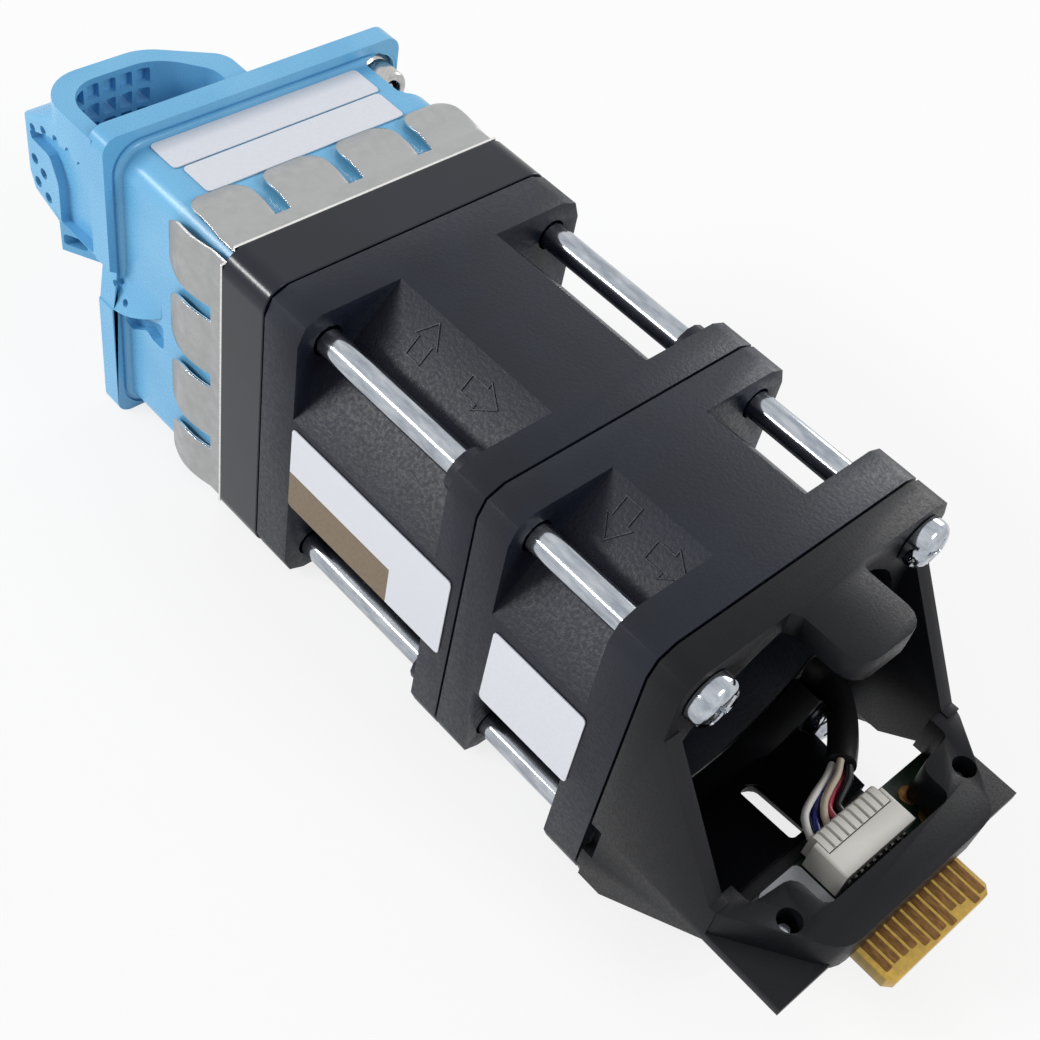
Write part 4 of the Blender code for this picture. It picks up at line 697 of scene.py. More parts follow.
@dataclass(frozen=True)
class GripHousing:
    """Blue moulding: flange, grille, duct walls, side hood and the perforated finger loop.

    The top row of the bow's holes stops short of the outer skin; the other rows go through.
    """

    half: float = 18.8
    corner: float = 3.0
    wall: float = 1.7
    rear: float = -7.7
    flange_back: float = -27.7
    flange_front: float = -30.5
    flange_half: float = 20.8
    flange_top: float = 20.9
    flange_bottom: float = -20.0
    plate: float = 1.8
    grip_top: float = 19.7
    grip_bottom: float = -0.8
    grip_floor: float = 3.4
    rim_depth: float = 11.0
    belly: float = 2.9
    left: float = -1.4
    slant: float = 5.6
    straight: float = 14.2
    loop_wall: float = 2.3
    cheek: float = 2.1
    screw_at: float = 16.0
    captive: tuple = (-17.4, 16.2)
    hood_top: float = 3.8

    def plan(self, inset: float, corner: float) -> np.ndarray:
        """Loop's plan (x, y), drawn in by a wall: a straight bow that slants back at its left end.

        Args:
            inset: Wall that the plan is drawn in by.
            corner: Radius between the bow and the cheek.

        Returns:
            The outline's points.
        """
        back, front = self.flange_front + 0.6, self.flange_front - self.rim_depth
        right = self.flange_half - inset * self.cheek / self.loop_wall
        bend = self.flange_half - self.straight - inset * 0.2
        left = self.left + 1.3 * inset
        return rounded([(right, back), (right, front + inset), (bend, front + inset),
                        (left, front + self.slant + inset * 0.8), (left, back)],
                       [0.0, max(corner, 0.3), 7.0, 3.0, 0.0], 9)

    def loop(self, levels: list, inset: float) -> Shape:
        """Loop's skin or well: the plan at each height, pushed forward by swell times its depth.

        Args:
            levels: Height, share of the belly's swell and corner radius of each ring, top first.
            inset: Wall that each ring is drawn in by.

        Returns:
            The shape.
        """
        rings = []
        for height, swell, corner in levels:
            plan = self.plan(inset, corner - inset * 0.5)
            depth = np.maximum(0.0, self.flange_front - plan[:, 1]) / self.rim_depth
            y = plan[:, 1] - swell * self.belly * depth
            y = np.minimum(y, self.flange_front) if inset else y
            rings.append(np.stack([plan[:, 0], y, np.full(len(y), height)], axis=1))
        return lofted(np.array(rings))

    def hood(self) -> Shape:
        """Hood over the side slot: its reach falls as a cosine from the flange into the wall."""
        share = np.linspace(0.0, 1.0, 13)
        y = self.flange_back - 0.3 + 7.6 * share
        edge = -2.6 + 3.3 * share ** 1.6
        reach = self.half + 0.05 + (self.flange_half - self.half - 0.25) * np.cos(share * math.pi / 2) ** 0.9
        drop = np.array([0.0, 0.12, 0.3, 0.55, 0.8, 1.0])[None, :]
        x = self.half + (reach[:, None] - self.half) * (0.25 * drop + 0.75 * drop ** 2.2)
        z = self.hood_top + (edge[:, None] - self.hood_top) * drop
        outer = np.stack([x, np.repeat(y[:, None], 6, axis=1), z], axis=-1)
        root = self.half - 0.6
        low = np.stack([np.full(13, root), y, edge - 0.5], axis=-1)[:, None]
        high = np.stack([np.full(13, root), y, np.full(13, self.hood_top)], axis=-1)[:, None]
        return lofted(np.concatenate([outer, low, high], axis=1))

    def fillet(self) -> Shape:
        """Concave fillet round the body at the flange: the half width falls along a quarter circle."""
        turn = np.linspace(0.0, math.pi / 2, 7)
        swell, place = 0.7 * (1 - np.sin(turn)), self.flange_back - 0.05 + 0.75 * (1 - np.cos(turn))
        rings = [np.insert(rounded_box(-h, h, -h, h, self.corner + s), 1, y, axis=1)
                 for s, h, y in zip(swell, self.half + swell, place)]
        return lofted(np.array(rings))

    def groove(self) -> Shape:
        """Shallow groove in the flange's back round the fillet."""
        outer, inner = self.half + 1.05, self.half + 0.66
        lines = [rounded_box(-h, h, -h, h, self.corner + h - self.half) for h in (outer, outer, inner, inner)]
        places = (self.flange_back - 0.3, self.flange_back + 0.02, self.flange_back + 0.02, self.flange_back - 0.3)
        return lofted(np.array([np.insert(line, 1, y, axis=1) for line, y in zip(lines, places)]), closed=True)

    def posts(self, radius: float, low: float, high: float) -> Shape:
        """Four round bars at the tie screws' places."""
        spots = [(x, z) for x in (self.screw_at, -self.screw_at) for z in (self.screw_at, -self.screw_at)]
        rows = (np.array([0.0, radius, radius, 0.0]), np.array([low, low, high, high]))
        return joined([turned(*rows, (x, 0.0, z), Axis.Y, 40) for x, z in spots])

    def side_cuts(self) -> list[Shape]:
        """Slanted slot under the hood, the notch in the flange's side and two square sinks."""
        start, end = self.flange_back + 0.15, self.flange_back + 7.5
        slot = rounded([(start, -3.5), (end, -0.3), (end, -4.2), (end - 2.2, -4.2), (end - 3.4, -3.6),
                        (start, -6.4)], [0.5, 0.5, 0.7, 0.7, 0.9, 0.9])
        side = self.flange_half
        notch = [(side + 0.5, self.hood_top - 0.2), (side - 0.9, self.hood_top - 1.2), (side - 0.2, -2.6),
                 (side + 0.5, -2.9)]
        marks = [extruded(square(self.flange_back + 1.5 * k - 0.1, 1.1 - 2.0 * k, 0.9), Axis.X,
                          side - 1.9 - 0.3 * k, side + 1.0) for k in (0, 1)]
        return [extruded(slot, Axis.X, self.half - self.wall + 0.5, self.half + 3.0),
                extruded(notch, Axis.Y, self.flange_front - 1.0, self.flange_back + 0.2), *marks]

    def cheek_dish(self) -> Shape:
        """Closed dish in the cheek's outside."""
        front, top = self.flange_front, self.grip_top - 4.8
        corners = [(-0.4, -1.9), (-2.2, -0.4), (-5.0, 0.0), (-8.2, -0.2), (-12.4, -1.9), (-12.0, -2.8),
                   (-8.4, -3.0), (-7.0, -6.0)]
        line = [(front + y, top + z) for y, z in corners]
        line += [(front - 7.1, self.grip_floor + 0.2), (front - 0.4, self.grip_floor + 0.2)]
        dish = rounded(line, [0.6, 1.4, 1.4, 1.4, 0.4, 0.4, 1.2, 3.0, 0.5, 0.5])
        return extruded(dish, Axis.X, self.flange_half - 1.2, self.flange_half + 1.0)

    def foot_taper(self) -> Shape:
        """Wedge that draws the loop's foot in towards the flange."""
        out, side, front = self.flange_half + 1.0, self.flange_half, self.flange_front
        wedge = [(out, front - 8.0), (side, front - 7.5), (side - 4.2, front), (out, front)]
        return extruded(wedge, Axis.Z, self.grip_bottom - 1.0, self.grip_floor + 0.1)

    def small_holes(self) -> Shape:
        """Perforations of the bow, holes and beads of the cheek, and the foot's slot."""
        front, top, side = self.flange_front, self.grip_top - 4.8, self.flange_half
        x = side - self.cheek - 2.0 - 2.2 * np.arange(5)
        z = self.grip_top - 1.75 - 2.6 * np.arange(5)
        cuts = [extruded(rounded_box(a - 0.8, a + 0.8, b - 1.0, b + 1.0, 0.25, 3), Axis.Y,
                         front - (9.6 if b == z[0] else 16.0), front - 6.0) for a in x for b in z]
        spots = [(-11.8, -5.5), (-10.1, -6.5), (-11.5, -8.5), (-9.5, -9.5)]
        cuts += [extruded(square(front + y, top + z, 1.3), Axis.X, side - self.cheek - 1.5, side + 1.0)
                 for y, z in spots]
        beads = [(-11.6, -1.2), (-9.3, -0.15), (-6.8, 0.2), (-4.3, 0.15), (-2.0, -0.3)]
        cuts += [extruded(square(front + y, top + z, 1.1), Axis.X, side - 1.7, side + 1.0) for y, z in beads]
        slot = rounded_box(front - 7.2, front - 4.5, self.grip_bottom + 1.0, self.grip_bottom + 2.5, 0.4, 3)
        return joined([*cuts, extruded(slot, Axis.X, side - 3.6, side + 1.0)])

    def grille(self) -> Shape:
        """Hexagonal cells on a 3.9 mm pitch, clear of the loop's walls and the captive screw."""
        pitch, across, reach = 3.9, 3.1, 3.1 / 2 + 0.5
        turn = np.arange(6) * math.pi / 3
        cells = []
        for i in range(-4, 5):
            for j in range(-4, 4):
                x, z = pitch * math.sqrt(3.0) / 2 * i, pitch * j + (pitch / 2 if i % 2 else 0.0)
                wall = self.left - reach < x < self.left + 3.0 + reach and z > self.grip_bottom - reach
                floor = x > self.left - reach and self.grip_bottom - reach < z < self.grip_floor + reach
                screw = math.hypot(x - self.captive[0], z - self.captive[1]) < 2.9 + reach
                if max(abs(x), abs(z)) > self.half - 3.6 or wall or floor or screw:
                    continue
                radius = across / math.sqrt(3.0)
                line = np.stack([x + radius * np.cos(turn), z + radius * np.sin(turn)], axis=1)
                cells.append(extruded(line, Axis.Y, self.flange_front - 0.5, self.flange_front + self.plate + 0.5))
        return joined(cells)

    def captive_cuts(self) -> list[Shape]:
        """Room behind the flange for the ferrule, and its hole."""
        low, high = self.flange_back - 0.06, self.flange_back + 8.6
        spot = (self.captive[0], 0.0, self.captive[1])
        room = turned([0.0, 3.3, 3.3, 2.9, 2.0, 0.0], [low, low, high - 2.4, high - 1.4, high - 0.6, high],
                      spot, Axis.Y)
        hole = turned([0.0, 2.95, 2.95, 0.0], [self.flange_front - 1.0] * 2 + [self.flange_back + 1.0] * 2,
                      spot, Axis.Y)
        return [room, hole]

    def build(self) -> None:
        """Join the main forms, ease their edges, then cut what is fine."""
        flange = rounded_box(-self.flange_half, self.flange_half, self.flange_bottom, self.flange_top, 2.0)
        piece = mesh_object("grip_housing", extruded(flange, Axis.Y, self.flange_front, self.flange_back))
        body = rounded_box(-self.half, self.half, -self.half, self.half, self.corner)
        carve(piece, extruded(body, Axis.Y, self.flange_back - 1.0, self.rear), Cut.JOIN)
        skin = [(self.grip_top, 0.0, 6.0), (17.3, -0.3, 4.4), (15.6, 0.45, 2.0), (14.3, 1.0, 0.9),
                (7.0, 1.0, 0.9), (5.0, 0.72, 0.9), (self.grip_floor, -1.0, 0.9), (self.grip_bottom, -1.05, 0.9)]
        carve(piece, self.loop(skin, 0.0), Cut.JOIN)
        well = [(self.grip_top + 1.0, 0.0, 8.2), (17.3, 0.0, 7.8), (14.3, 0.12, 6.4), (7.6, 0.12, 4.0),
                (self.grip_floor, -0.35, 2.0)]
        carve(piece, self.loop(well, self.loop_wall), Cut.REMOVE)
        carve(piece, self.foot_taper(), Cut.REMOVE)
        ease(piece, 0.55, 4, 32.0)
        settle(piece)
        carve(piece, self.fillet(), Cut.JOIN)
        carve(piece, self.groove(), Cut.REMOVE)
        carve(piece, self.hood(), Cut.JOIN)
        inner = self.half - self.wall
        duct = rounded_box(-inner, inner, -inner, inner, 2.0)
        carve(piece, extruded(duct, Axis.Y, self.flange_front + self.plate, self.rear + 1.0), Cut.REMOVE)
        carve(piece, self.posts(2.73, self.rear - 9.0, self.rear - 0.07), Cut.JOIN)
        carve(piece, self.posts(1.95, self.rear - 8.4, self.rear + 1.0), Cut.REMOVE)
        carve(piece, self.cheek_dish(), Cut.REMOVE)
        carve(piece, self.grille(), Cut.REMOVE)
        carve(piece, self.small_holes(), Cut.REMOVE)
        for cut in [*self.side_cuts(), *self.captive_cuts()]:
            carve(piece, cut, Cut.REMOVE)
        paint(piece, BLUE)
        ease(piece, 0.12, 2, 40.0)
        weigh_normals(piece)
        fit_out(piece, ROOT, "blue", "front_housing")


def square(a: float, b: float, size: float) -> np.ndarray:
    """Small square outline with cut corners."""
    return rounded_box(a - size / 2, a + size / 2, b - size / 2, b + size / 2, size * 0.3, 1)


@dataclass(frozen=True)
class Collar:
    """Glossy black collar between the housing and the first fan."""

    half: float = 20.0
    corner: float = 3.0
    front: float = -7.4
    back: float = -0.3
    bore: float = 18.2
    mouth: float = 18.9
    screw_at: float = 16.0
    hole: float = 1.95

    def build(self) -> None:
        """Push the square outline along the air path, turn out its bore and drill the tie holes."""
        before, past = self.front - 1.0, self.back + 1.0
        line = rounded_box(-self.half, self.half, -self.half, self.half, self.corner, 12)
        piece = mesh_object("glossy_collar", extruded(line, Axis.Y, self.front, self.back))
        air = turned([0.0, self.mouth, self.mouth, self.bore, self.bore, 0.0],
                     [before, before, self.front, self.front + 1.5, past, past],
                     (0.0, 0.0, 0.0), Axis.Y, 128)
        carve(piece, air, Cut.REMOVE)
        spots = [(x, z) for x in (-self.screw_at, self.screw_at) for z in (-self.screw_at, self.screw_at)]
        rows = ([0.0, self.hole, self.hole, 0.0], [before, before, past, past])
        carve(piece, joined([turned(*rows, (x, 0.0, z), Axis.Y, 40) for x, z in spots]), Cut.REMOVE)
        paint(piece, COLLAR_BLACK)
        ease(piece, 0.3, 3, 50.0)
        weigh_normals(piece)
        fit_out(piece, ROOT, "gloss_black", "inlet_collar")


@dataclass(frozen=True)
class SpringStrip:
    """Comb of four arched fingers cut from one stainless sheet, on one side of the housing."""

    side: Side
    length: float
    shift: float
    base: float = 19.1
    half: float = 18.3
    slot: float = 2.1
    pitch: float = 10.0
    rise: float = 0.55
    band: float = 2.5
    rear: float = -7.7
    thickness: float = 0.3
    lip: float = 0.82

    def finger(self, left: float, right: float) -> Shape:
        """One finger: height = rise sin(pi t)^0.9, with round corners at its tip.

        Args:
            left: Finger's left edge.
            right: Finger's right edge.

        Returns:
            Open sheet of points.
        """
        t = np.concatenate([np.linspace(0.0, 0.6, 14), 0.6 + 0.4 * np.sin(np.linspace(0.0, 1.0, 15)[1:] * math.pi / 2)])
        u = np.linspace(0.0, 1.0, 15)
        past = np.maximum(0.0, (t - 0.6) / 0.4)
        trim = (right - left) * 0.26 * (1 - np.sqrt(np.maximum(0.0, 1 - past ** 2)))
        x = left + trim[:, None] + (right - left - 2 * trim[:, None]) * u[None, :]
        y = np.repeat((self.rear - self.band - self.length * t)[:, None], len(u), axis=1)
        z = np.repeat((self.base + self.rise * np.sin(math.pi * t) ** 0.9)[:, None], len(u), axis=1)
        return np.stack([x, y, z], axis=-1).reshape(-1, 3), grid_faces(len(t), len(u))

    def build(self) -> None:
        """Lay out the band and the fingers, turn them to their side and give the sheet its thickness."""
        slots = [self.shift + self.pitch * k + s * self.slot / 2 for k in (-1, 0, 1) for s in (-1, 1)]
        edges = [-self.half, *slots, self.half]
        columns = np.concatenate([np.linspace(a, b, 15)[:-1] for a, b in zip(edges[::2], edges[1::2])]
                                 + [[self.half]])
        columns = np.unique(np.concatenate([columns, edges]).round(6))
        rows = self.rear - self.band * np.array([-0.1, -0.09, -0.04, 0.03, 0.3, 1.0])
        x, y = np.meshgrid(columns, rows)
        z = self.base + np.repeat(np.array([self.lip, 0.25, 0.07, 0.0, 0.0, 0.0])[:, None], len(columns), axis=1)
        band = np.stack([x, y, z], axis=-1).reshape(-1, 3), grid_faces(len(rows), len(columns))
        points, faces = joined([band, *(self.finger(a, b) for a, b in zip(edges[::2], edges[1::2]))])
        c, s = [(1, 0), (0, 1), (-1, 0), (0, -1)][self.side.value]
        points = np.stack([points[:, 0] * c - points[:, 2] * s, points[:, 1],
                           points[:, 0] * s + points[:, 2] * c], axis=1)
        name = self.side.name.lower()
        piece = mesh_object("finger_strip_" + name, (points, faces), Finishes.get(STRIP_STEEL))
        # The sheet's rim takes the sheared-edge finish, whose light colour is a painted highlight.
        piece.data.materials.append(Finishes.get(SHEARED_EDGE_PAINTED_HIGHLIGHT))
        outward = np.array([-s, 0.0, c])
        middle = np.mean([face.normal @ Vector(outward) for face in piece.data.polygons])
        wall = piece.modifiers.new("sheet_thickness", "SOLIDIFY")
        wall.thickness = self.thickness * MM
        wall.offset = 1.0 if middle > 0 else -1.0
        wall.material_offset_rim = 1
        ease(piece, 0.05, 2, 50.0)
        fit_out(piece, ROOT, "steel", "spring_strip_" + name)


@dataclass(frozen=True)
class Screw:
    """Pan-head screw with a cross recess and a rolled thread; it points away from its head."""

    name: str
    origin: tuple
    axis: Axis
    seat: float
    tip: float
    radius: float
    head_radius: float
    head_height: float
    thread: float
    pitch: float
    turn: float = 0.0
    sides: int = 96
    neck: tuple = ()

    def shank(self) -> tuple[np.ndarray, np.ndarray]:
        """Rows from the tip to the head: in the thread, r = radius - depth |2 frac(y / pitch - t) - 1|."""
        length = abs(self.seat - self.tip)
        angle = np.arange(self.sides) / self.sides
        thread = np.arange(length - 0.5, length - self.thread, -self.pitch / 8)
        phase = (thread[:, None] / self.pitch - angle[None, :]) % 1.0
        ridge = self.radius - 0.14 * np.abs(2 * phase - 1)
        end = np.stack([np.zeros(self.sides), np.full(self.sides, 0.6 * self.radius)])
        plain = [self.radius - 0.02, self.radius, self.radius]
        places = [length - self.thread - 0.1, length - self.thread - 0.4, 0.2]
        if self.neck:
            plain[2:2] = [self.radius, self.neck[0], self.neck[0], self.radius]
            places[2:2] = [self.neck[1] + 0.01, self.neck[1], self.neck[2], self.neck[2] - 0.01]
        radius = np.concatenate([end, ridge, np.repeat(np.array(plain)[:, None], self.sides, axis=1),
                                 np.full((1, self.sides), self.radius + 0.2)])
        place = np.concatenate([[length, length], thread, places, [0.0]])
        return radius, -np.repeat(place[:, None], self.sides, axis=1)

    def head(self) -> tuple[np.ndarray, np.ndarray]:
        """Rows of the head: a dome h = H (0.45 + 0.55 (1 - (r/R)^3)^0.5) less the cross recess."""
        big, high = self.head_radius, self.head_height
        rim = np.cos(np.linspace(0.0, 1.1, 9))
        share = np.concatenate([rim[rim > 0.75], np.linspace(0.74, 0.0, 30)])
        radius = np.repeat((big * share)[:, None], self.sides, axis=1)
        dome = high * (0.45 + 0.55 * np.sqrt(np.maximum(0.0, 1 - share ** 3)))[:, None]
        angle = np.arange(self.sides) / self.sides * 2 * math.pi + self.turn
        u, v = np.abs(radius * np.cos(angle)), np.abs(radius * np.sin(angle))
        inside = np.minimum(np.maximum(v - 0.13 * big, u - 0.60 * big), np.maximum(u - 0.13 * big, v - 0.60 * big))
        wall = np.clip(-inside / (0.07 * big), 0.0, 1.0)
        depth = 0.52 * high * wall * (1 - 0.45 * radius / (0.6 * big))
        side_r = np.repeat(np.array([big - 0.15, big - 0.03, big])[:, None], self.sides, axis=1)
        side_h = np.repeat(np.array([0.0, 0.04, 0.2 * high])[:, None], self.sides, axis=1)
        return np.concatenate([side_r, radius]), np.concatenate([side_h, dome - depth])

    def build(self, body: str, node: str, finish: Finish) -> None:
        """Make the screw as one surface of revolution whose head is cut by the recess."""
        outward = 1.0 if self.seat > self.tip else -1.0
        (shank_r, shank_h), (head_r, head_h) = self.shank(), self.head()
        radius, height = np.concatenate([shank_r, head_r]), np.concatenate([shank_h, head_h])
        shape = turned(radius, self.seat + outward * height, self.origin, self.axis, self.sides)
        piece = mesh_object(self.name, shape, Finishes.get(finish), 42.0)
        fit_out(piece, body, "zinc", node)


@dataclass(frozen=True)
class Ferrule:
    """Turned sleeve pressed in the flange, which keeps the captive screw."""

    origin: tuple = (-17.4, 0.0, 16.2)
    profile: tuple = ((2.45, -31.0), (2.95, -31.0), (3.1, -30.85), (3.1, -30.6), (2.85, -30.6), (2.85, -28.4),
                      (2.3, -27.9), (2.3, -24.85), (2.15, -24.6), (1.45, -24.6), (1.25, -24.75), (1.25, -25.2),
                      (1.75, -25.2), (1.75, -28.4), (1.25, -28.4), (1.25, -29.0), (2.45, -29.0))

    def build(self) -> None:
        """Turn the profile about the screw's axis."""
        radius, place = np.array(self.profile).T
        piece = mesh_object("captive_ferrule", turned(radius, place, self.origin, Axis.Y, 64, True),
                            Finishes.get(TURNED_STEEL), 42.0)
        fit_out(piece, ROOT, "zinc", "screw_ferrule")


@dataclass(frozen=True)
class Impeller:
    """Hub cup with swept blades; places are distances from the fan's vane end to its open end."""

    fan: str
    body: str
    vane_end: float
    toward: float
    length: float
    nose: float
    blades: int = 5
    hub: float = 10.6
    duct: float = 18.2

    def blade(self, start: float) -> Shape:
        """Blade round the hub: turn = start + sweep t^1.35, half thickness = 0.16 + 0.42 sin(pi t)^0.7.

        Args:
            start: Angle of its leading edge.

        Returns:
            The shape.
        """
        cap = self.length - self.nose
        t, share = np.linspace(0.0, 1.0, 25)[None, :], np.linspace(0.0, 1.0, 9)[:, None]
        radius = self.hub - 0.45 + (self.duct - 0.45 - self.hub + 0.45) * share
        first, last = 6.6 + 0.8, cap - 1.0
        place = first + 0.9 * share + (last - first - 1.8 * share) * t
        turn = start + (1.16 - 0.30 * share) * t ** 1.35 + 0.12 * share
        half = (0.16 + 0.42 * np.sin(math.pi * t) ** 0.7) / radius
        angle = np.concatenate([turn - half, (turn + half)[:, ::-1]], axis=1)
        y = self.vane_end + self.toward * np.concatenate([place, place[:, ::-1]], axis=1)
        return lofted(np.stack([radius * np.cos(angle), y, radius * np.sin(angle)], axis=-1), folded=True)

    def build(self) -> None:
        """Turn the hub, set the blades round it and report the piece."""
        cap, hub = self.length - self.nose, self.hub
        bend = np.linspace(0.0, math.pi / 2, 7)
        edge_r, edge_h = hub - 1.2 * (1 - np.sin(bend)), cap - 1.2 * (1 - np.cos(bend))
        ring = np.array([0.0, 4.6, 4.75, 4.9, 5.2])
        ring_h = cap - np.array([0.0, 0.0, 0.18, 0.0, 0.0])
        radius = np.concatenate([ring, edge_r, [hub, hub - 0.9, hub - 0.9, 0.0]])
        place = np.concatenate([ring_h, edge_h, [6.6, 6.6, cap - 1.2, cap - 1.2]])
        cup = turned(radius, self.vane_end + self.toward * place, (0.0, 0.0, 0.0), Axis.Y, 96)
        blades = [self.blade(2 * math.pi * k / self.blades) for k in range(self.blades)]
        piece = mesh_object(self.fan + "_blade_wheel", joined([cup, *blades]), Finishes.get(IMPELLER_BLACK))
        fit_out(piece, self.body, "impeller", self.fan + "_impeller")


@dataclass(frozen=True)
class FlowArrows:
    """Raised outlines of block arrows on a fan's upper right panel: the air's way and the rotor's."""

    fan: str
    along: tuple
    round_way: tuple
    rotor_sign: float
    edge: float = 6.7
    half: float = 20.0
    line: float = 0.2
    height: float = 0.14

    def ribbon(self, outline: np.ndarray) -> Shape:
        """Raised line: the outline drawn in and out by half its width, with four corners all round.

        Args:
            outline: Closed outline as distance across the panel and place along the air path.

        Returns:
            The shape.
        """
        before, after = np.roll(outline, 1, axis=0), np.roll(outline, -1, axis=0)
        d = [v / np.linalg.norm(v, axis=1, keepdims=True) for v in (outline - before, after - outline)]
        n = [np.stack([-v[:, 1], v[:, 0]], axis=1) for v in d]
        mitre = (n[0] + n[1]) / (1 + np.sum(n[0] * n[1], axis=1, keepdims=True))
        wide, narrow = mitre * self.line / 2, mitre * self.line / 3.2
        rings = []
        for flat, lift in ((outline + wide, -0.1), (outline + narrow, self.height),
                           (outline - narrow, self.height), (outline - wide, -0.1)):
            x = self.edge + (flat[:, 0] + lift) / math.sqrt(2.0)
            z = self.half - (flat[:, 0] - lift) / math.sqrt(2.0)
            rings.append(np.stack([x, flat[:, 1], z], axis=1))
        return lofted(np.array(rings), closed=True)

    def build(self) -> None:
        """Make both arrows as one piece on the fan's frame."""
        arrow = np.array([(-1.05, -2.3), (1.05, -2.3), (1.05, 0.0), (1.7, 0.0), (0.0, 2.35), (-1.7, 0.0),
                          (-1.05, 0.0)])
        first = arrow + np.array(self.along)
        second = np.stack([arrow[:, 1] * self.rotor_sign, arrow[:, 0]], axis=1) + np.array(self.round_way)
        piece = mesh_object(self.fan + "_flow_arrows", joined([self.ribbon(first), self.ribbon(second)]),
                            Finishes.get(BLACK))
        fit_out(piece, ROOT, "black")


@dataclass(frozen=True)
class FloorSkin:
    """Raised skin round the slot in the bracket's sloping floor, and the lip on the board's front edge."""

    start: float = 59.9
    low: float = -17.1
    slope: float = 9.1 / 11.1
    slot_half: float = 0.95

    def build(self) -> None:
        """Push the skin upwards, lean it on the floor, cut its slot and add the lip."""
        plate = extruded(rounded_box(-4.6, 7.6, 60.3, 70.9, 0.5, 3), Axis.Z, self.low - 0.3, self.low + 0.12)
        plate[0][:, 2] += self.slope * (plate[0][:, 1] - self.start)
        half = self.slot_half
        slot = rounded([(-1.2 - half, 61.3), (-1.2 + half, 61.3), (3.6 + half, 70.4), (3.6 - half, 70.4)],
                       [half * 0.75, half * 0.75, 0.4, 0.4], 5)
        piece = mesh_object("bracket_floor_skin", plate)
        carve(piece, extruded(slot, Axis.Z, self.low - 3.0, self.low + 12.0), Cut.REMOVE)
        lip = [(-6.9, 70.7), (17.9, 70.7), (17.9, 72.25), (-6.9, 72.25)]
        carve(piece, extruded(lip, Axis.Z, -9.42, -9.1), Cut.JOIN)
        paint(piece, BRACKET_BLACK)
        fit_out(piece, ROOT, "black")


@dataclass(frozen=True)
class Wire:
    """One lead of the fans, held at both ends between the sleeve and the plug."""

    name: str
    node: str
    finish: Finish
    route: tuple
    radius: float = 0.42

    def build(self) -> None:
        """Draw the cord along its route."""
        piece = mesh_object(self.name, tube(smooth_path(self.route, 10), self.radius), Finishes.get(self.finish))
        fit_out(piece, ROOT, "sleeve", self.node)


@dataclass(frozen=True)
class Connector:
    """Ribbed wire plug in the header, the header's pins, the board's contacts and its round pads."""

    left: float = -5.38
    right: float = 4.68
    front: float = 71.9
    roof: float = 74.38
    back: float = 76.38
    low: float = -8.73
    top: float = -5.15
    step: float = -5.87
    rib_pitch: float = 1.14
    board_top: float = -9.5
    board_bottom: float = -11.1

    def plug(self) -> None:
        """Plug: one section carried along X, whose top is lower in the grooves between its ribs."""
        ribs = np.arange(8)
        starts = self.left + 0.95 + self.rib_pitch * ribs
        stations = np.sort(np.concatenate([[self.left, self.right], starts - 0.02, starts, starts + 0.34,
                                           starts + 0.36]))
        groove = np.zeros(len(stations))
        for start in starts:
            groove[(stations > start - 0.01) & (stations < start + 0.35)] = 0.5
        section = np.array([(self.front, self.low), (self.back, self.low), (self.back, self.step),
                            (self.roof, self.step), (self.roof, self.top - 0.05), (73.95, self.top),
                            (72.5, self.top), (72.1, self.top - 0.12), (self.front, self.top - 0.5)])
        drop = np.array([0, 0, 0, 0, 0, 1, 1, 0.9, 0.5])[None, :] * groove[:, None]
        rings = np.zeros((len(stations), len(section), 3))
        rings[..., 0] = stations[:, None]
        rings[..., 1], rings[..., 2] = section[:, 0], section[:, 1] - drop
        piece = mesh_object("ribbed_wire_plug", lofted(rings), Finishes.get(IVORY), 25.0)
        fit_out(piece, ROOT, "ivory", "wire_plug")

    def pins(self) -> None:
        """Header's tinned pins: a flat strip that steps down behind the header to the board."""
        line = np.array([(77.2, -6.9), (77.75, -6.95), (78.0, -7.2), (78.05, -9.2), (78.3, -9.42), (79.0, -9.44)])
        shapes = []
        for x in self.left + 0.6 + 1.02 * np.arange(10):
            rings = [[(x + s * 0.22, y, z + t * 0.08) for s, t in ((-1, -1), (1, -1), (1, 1), (-1, 1))]
                     for y, z in line]
            shapes.append(lofted(np.array(rings)))
        # The pins' finish is darkened as painted shade.
        piece = mesh_object("header_pins", joined(shapes), Finishes.get(TINNED_PINS_PAINTED_SHADE))
        fit_out(piece, ROOT, "zinc")

    def contacts(self) -> None:
        """Gold contacts on both faces of the tongue, longer for the ones that meet first."""
        ends = (86.3, 86.2, 86.3, 86.35, 87.0, 87.3, 87.05, 87.4, 86.3, 86.5, 87.4, 87.05)
        shapes = []
        for k, end in enumerate(ends):
            x = 6.95 - 1.37 * k
            line = rounded_box(x - 0.49, x + 0.49, 80.2, end, 0.18, 3)
            shapes.append(extruded(line, Axis.Z, self.board_top - 0.02, self.board_top + 0.05))
            shapes.append(extruded(line, Axis.Z, self.board_bottom - 0.05, self.board_bottom + 0.02))
        piece = mesh_object("edge_contacts", joined(shapes), Finishes.get(CONTACT_GOLD))
        fit_out(piece, ROOT, "card")

    def pads(self) -> None:
        """Round test pads on the board beside the header."""
        shapes = [turned([0.0, r, r, r - 0.3, 0.0], [self.board_top - 0.02, self.board_top - 0.02,
                                                     self.board_top + 0.08, self.board_top + 0.14,
                                                     self.board_top + 0.05], (x, y, 0.0), Axis.Z, 32)
                  for x, y, r in ((-11.0, 74.6, 1.25), (-10.4, 77.6, 0.95))]
        piece = mesh_object("board_pads", joined(shapes), Finishes.get(CONTACT_GOLD))
        fit_out(piece, ROOT, "card")

    def build(self) -> None:
        """Make every part of the connector."""
        self.plug()
        self.pins()
        self.contacts()
        self.pads()


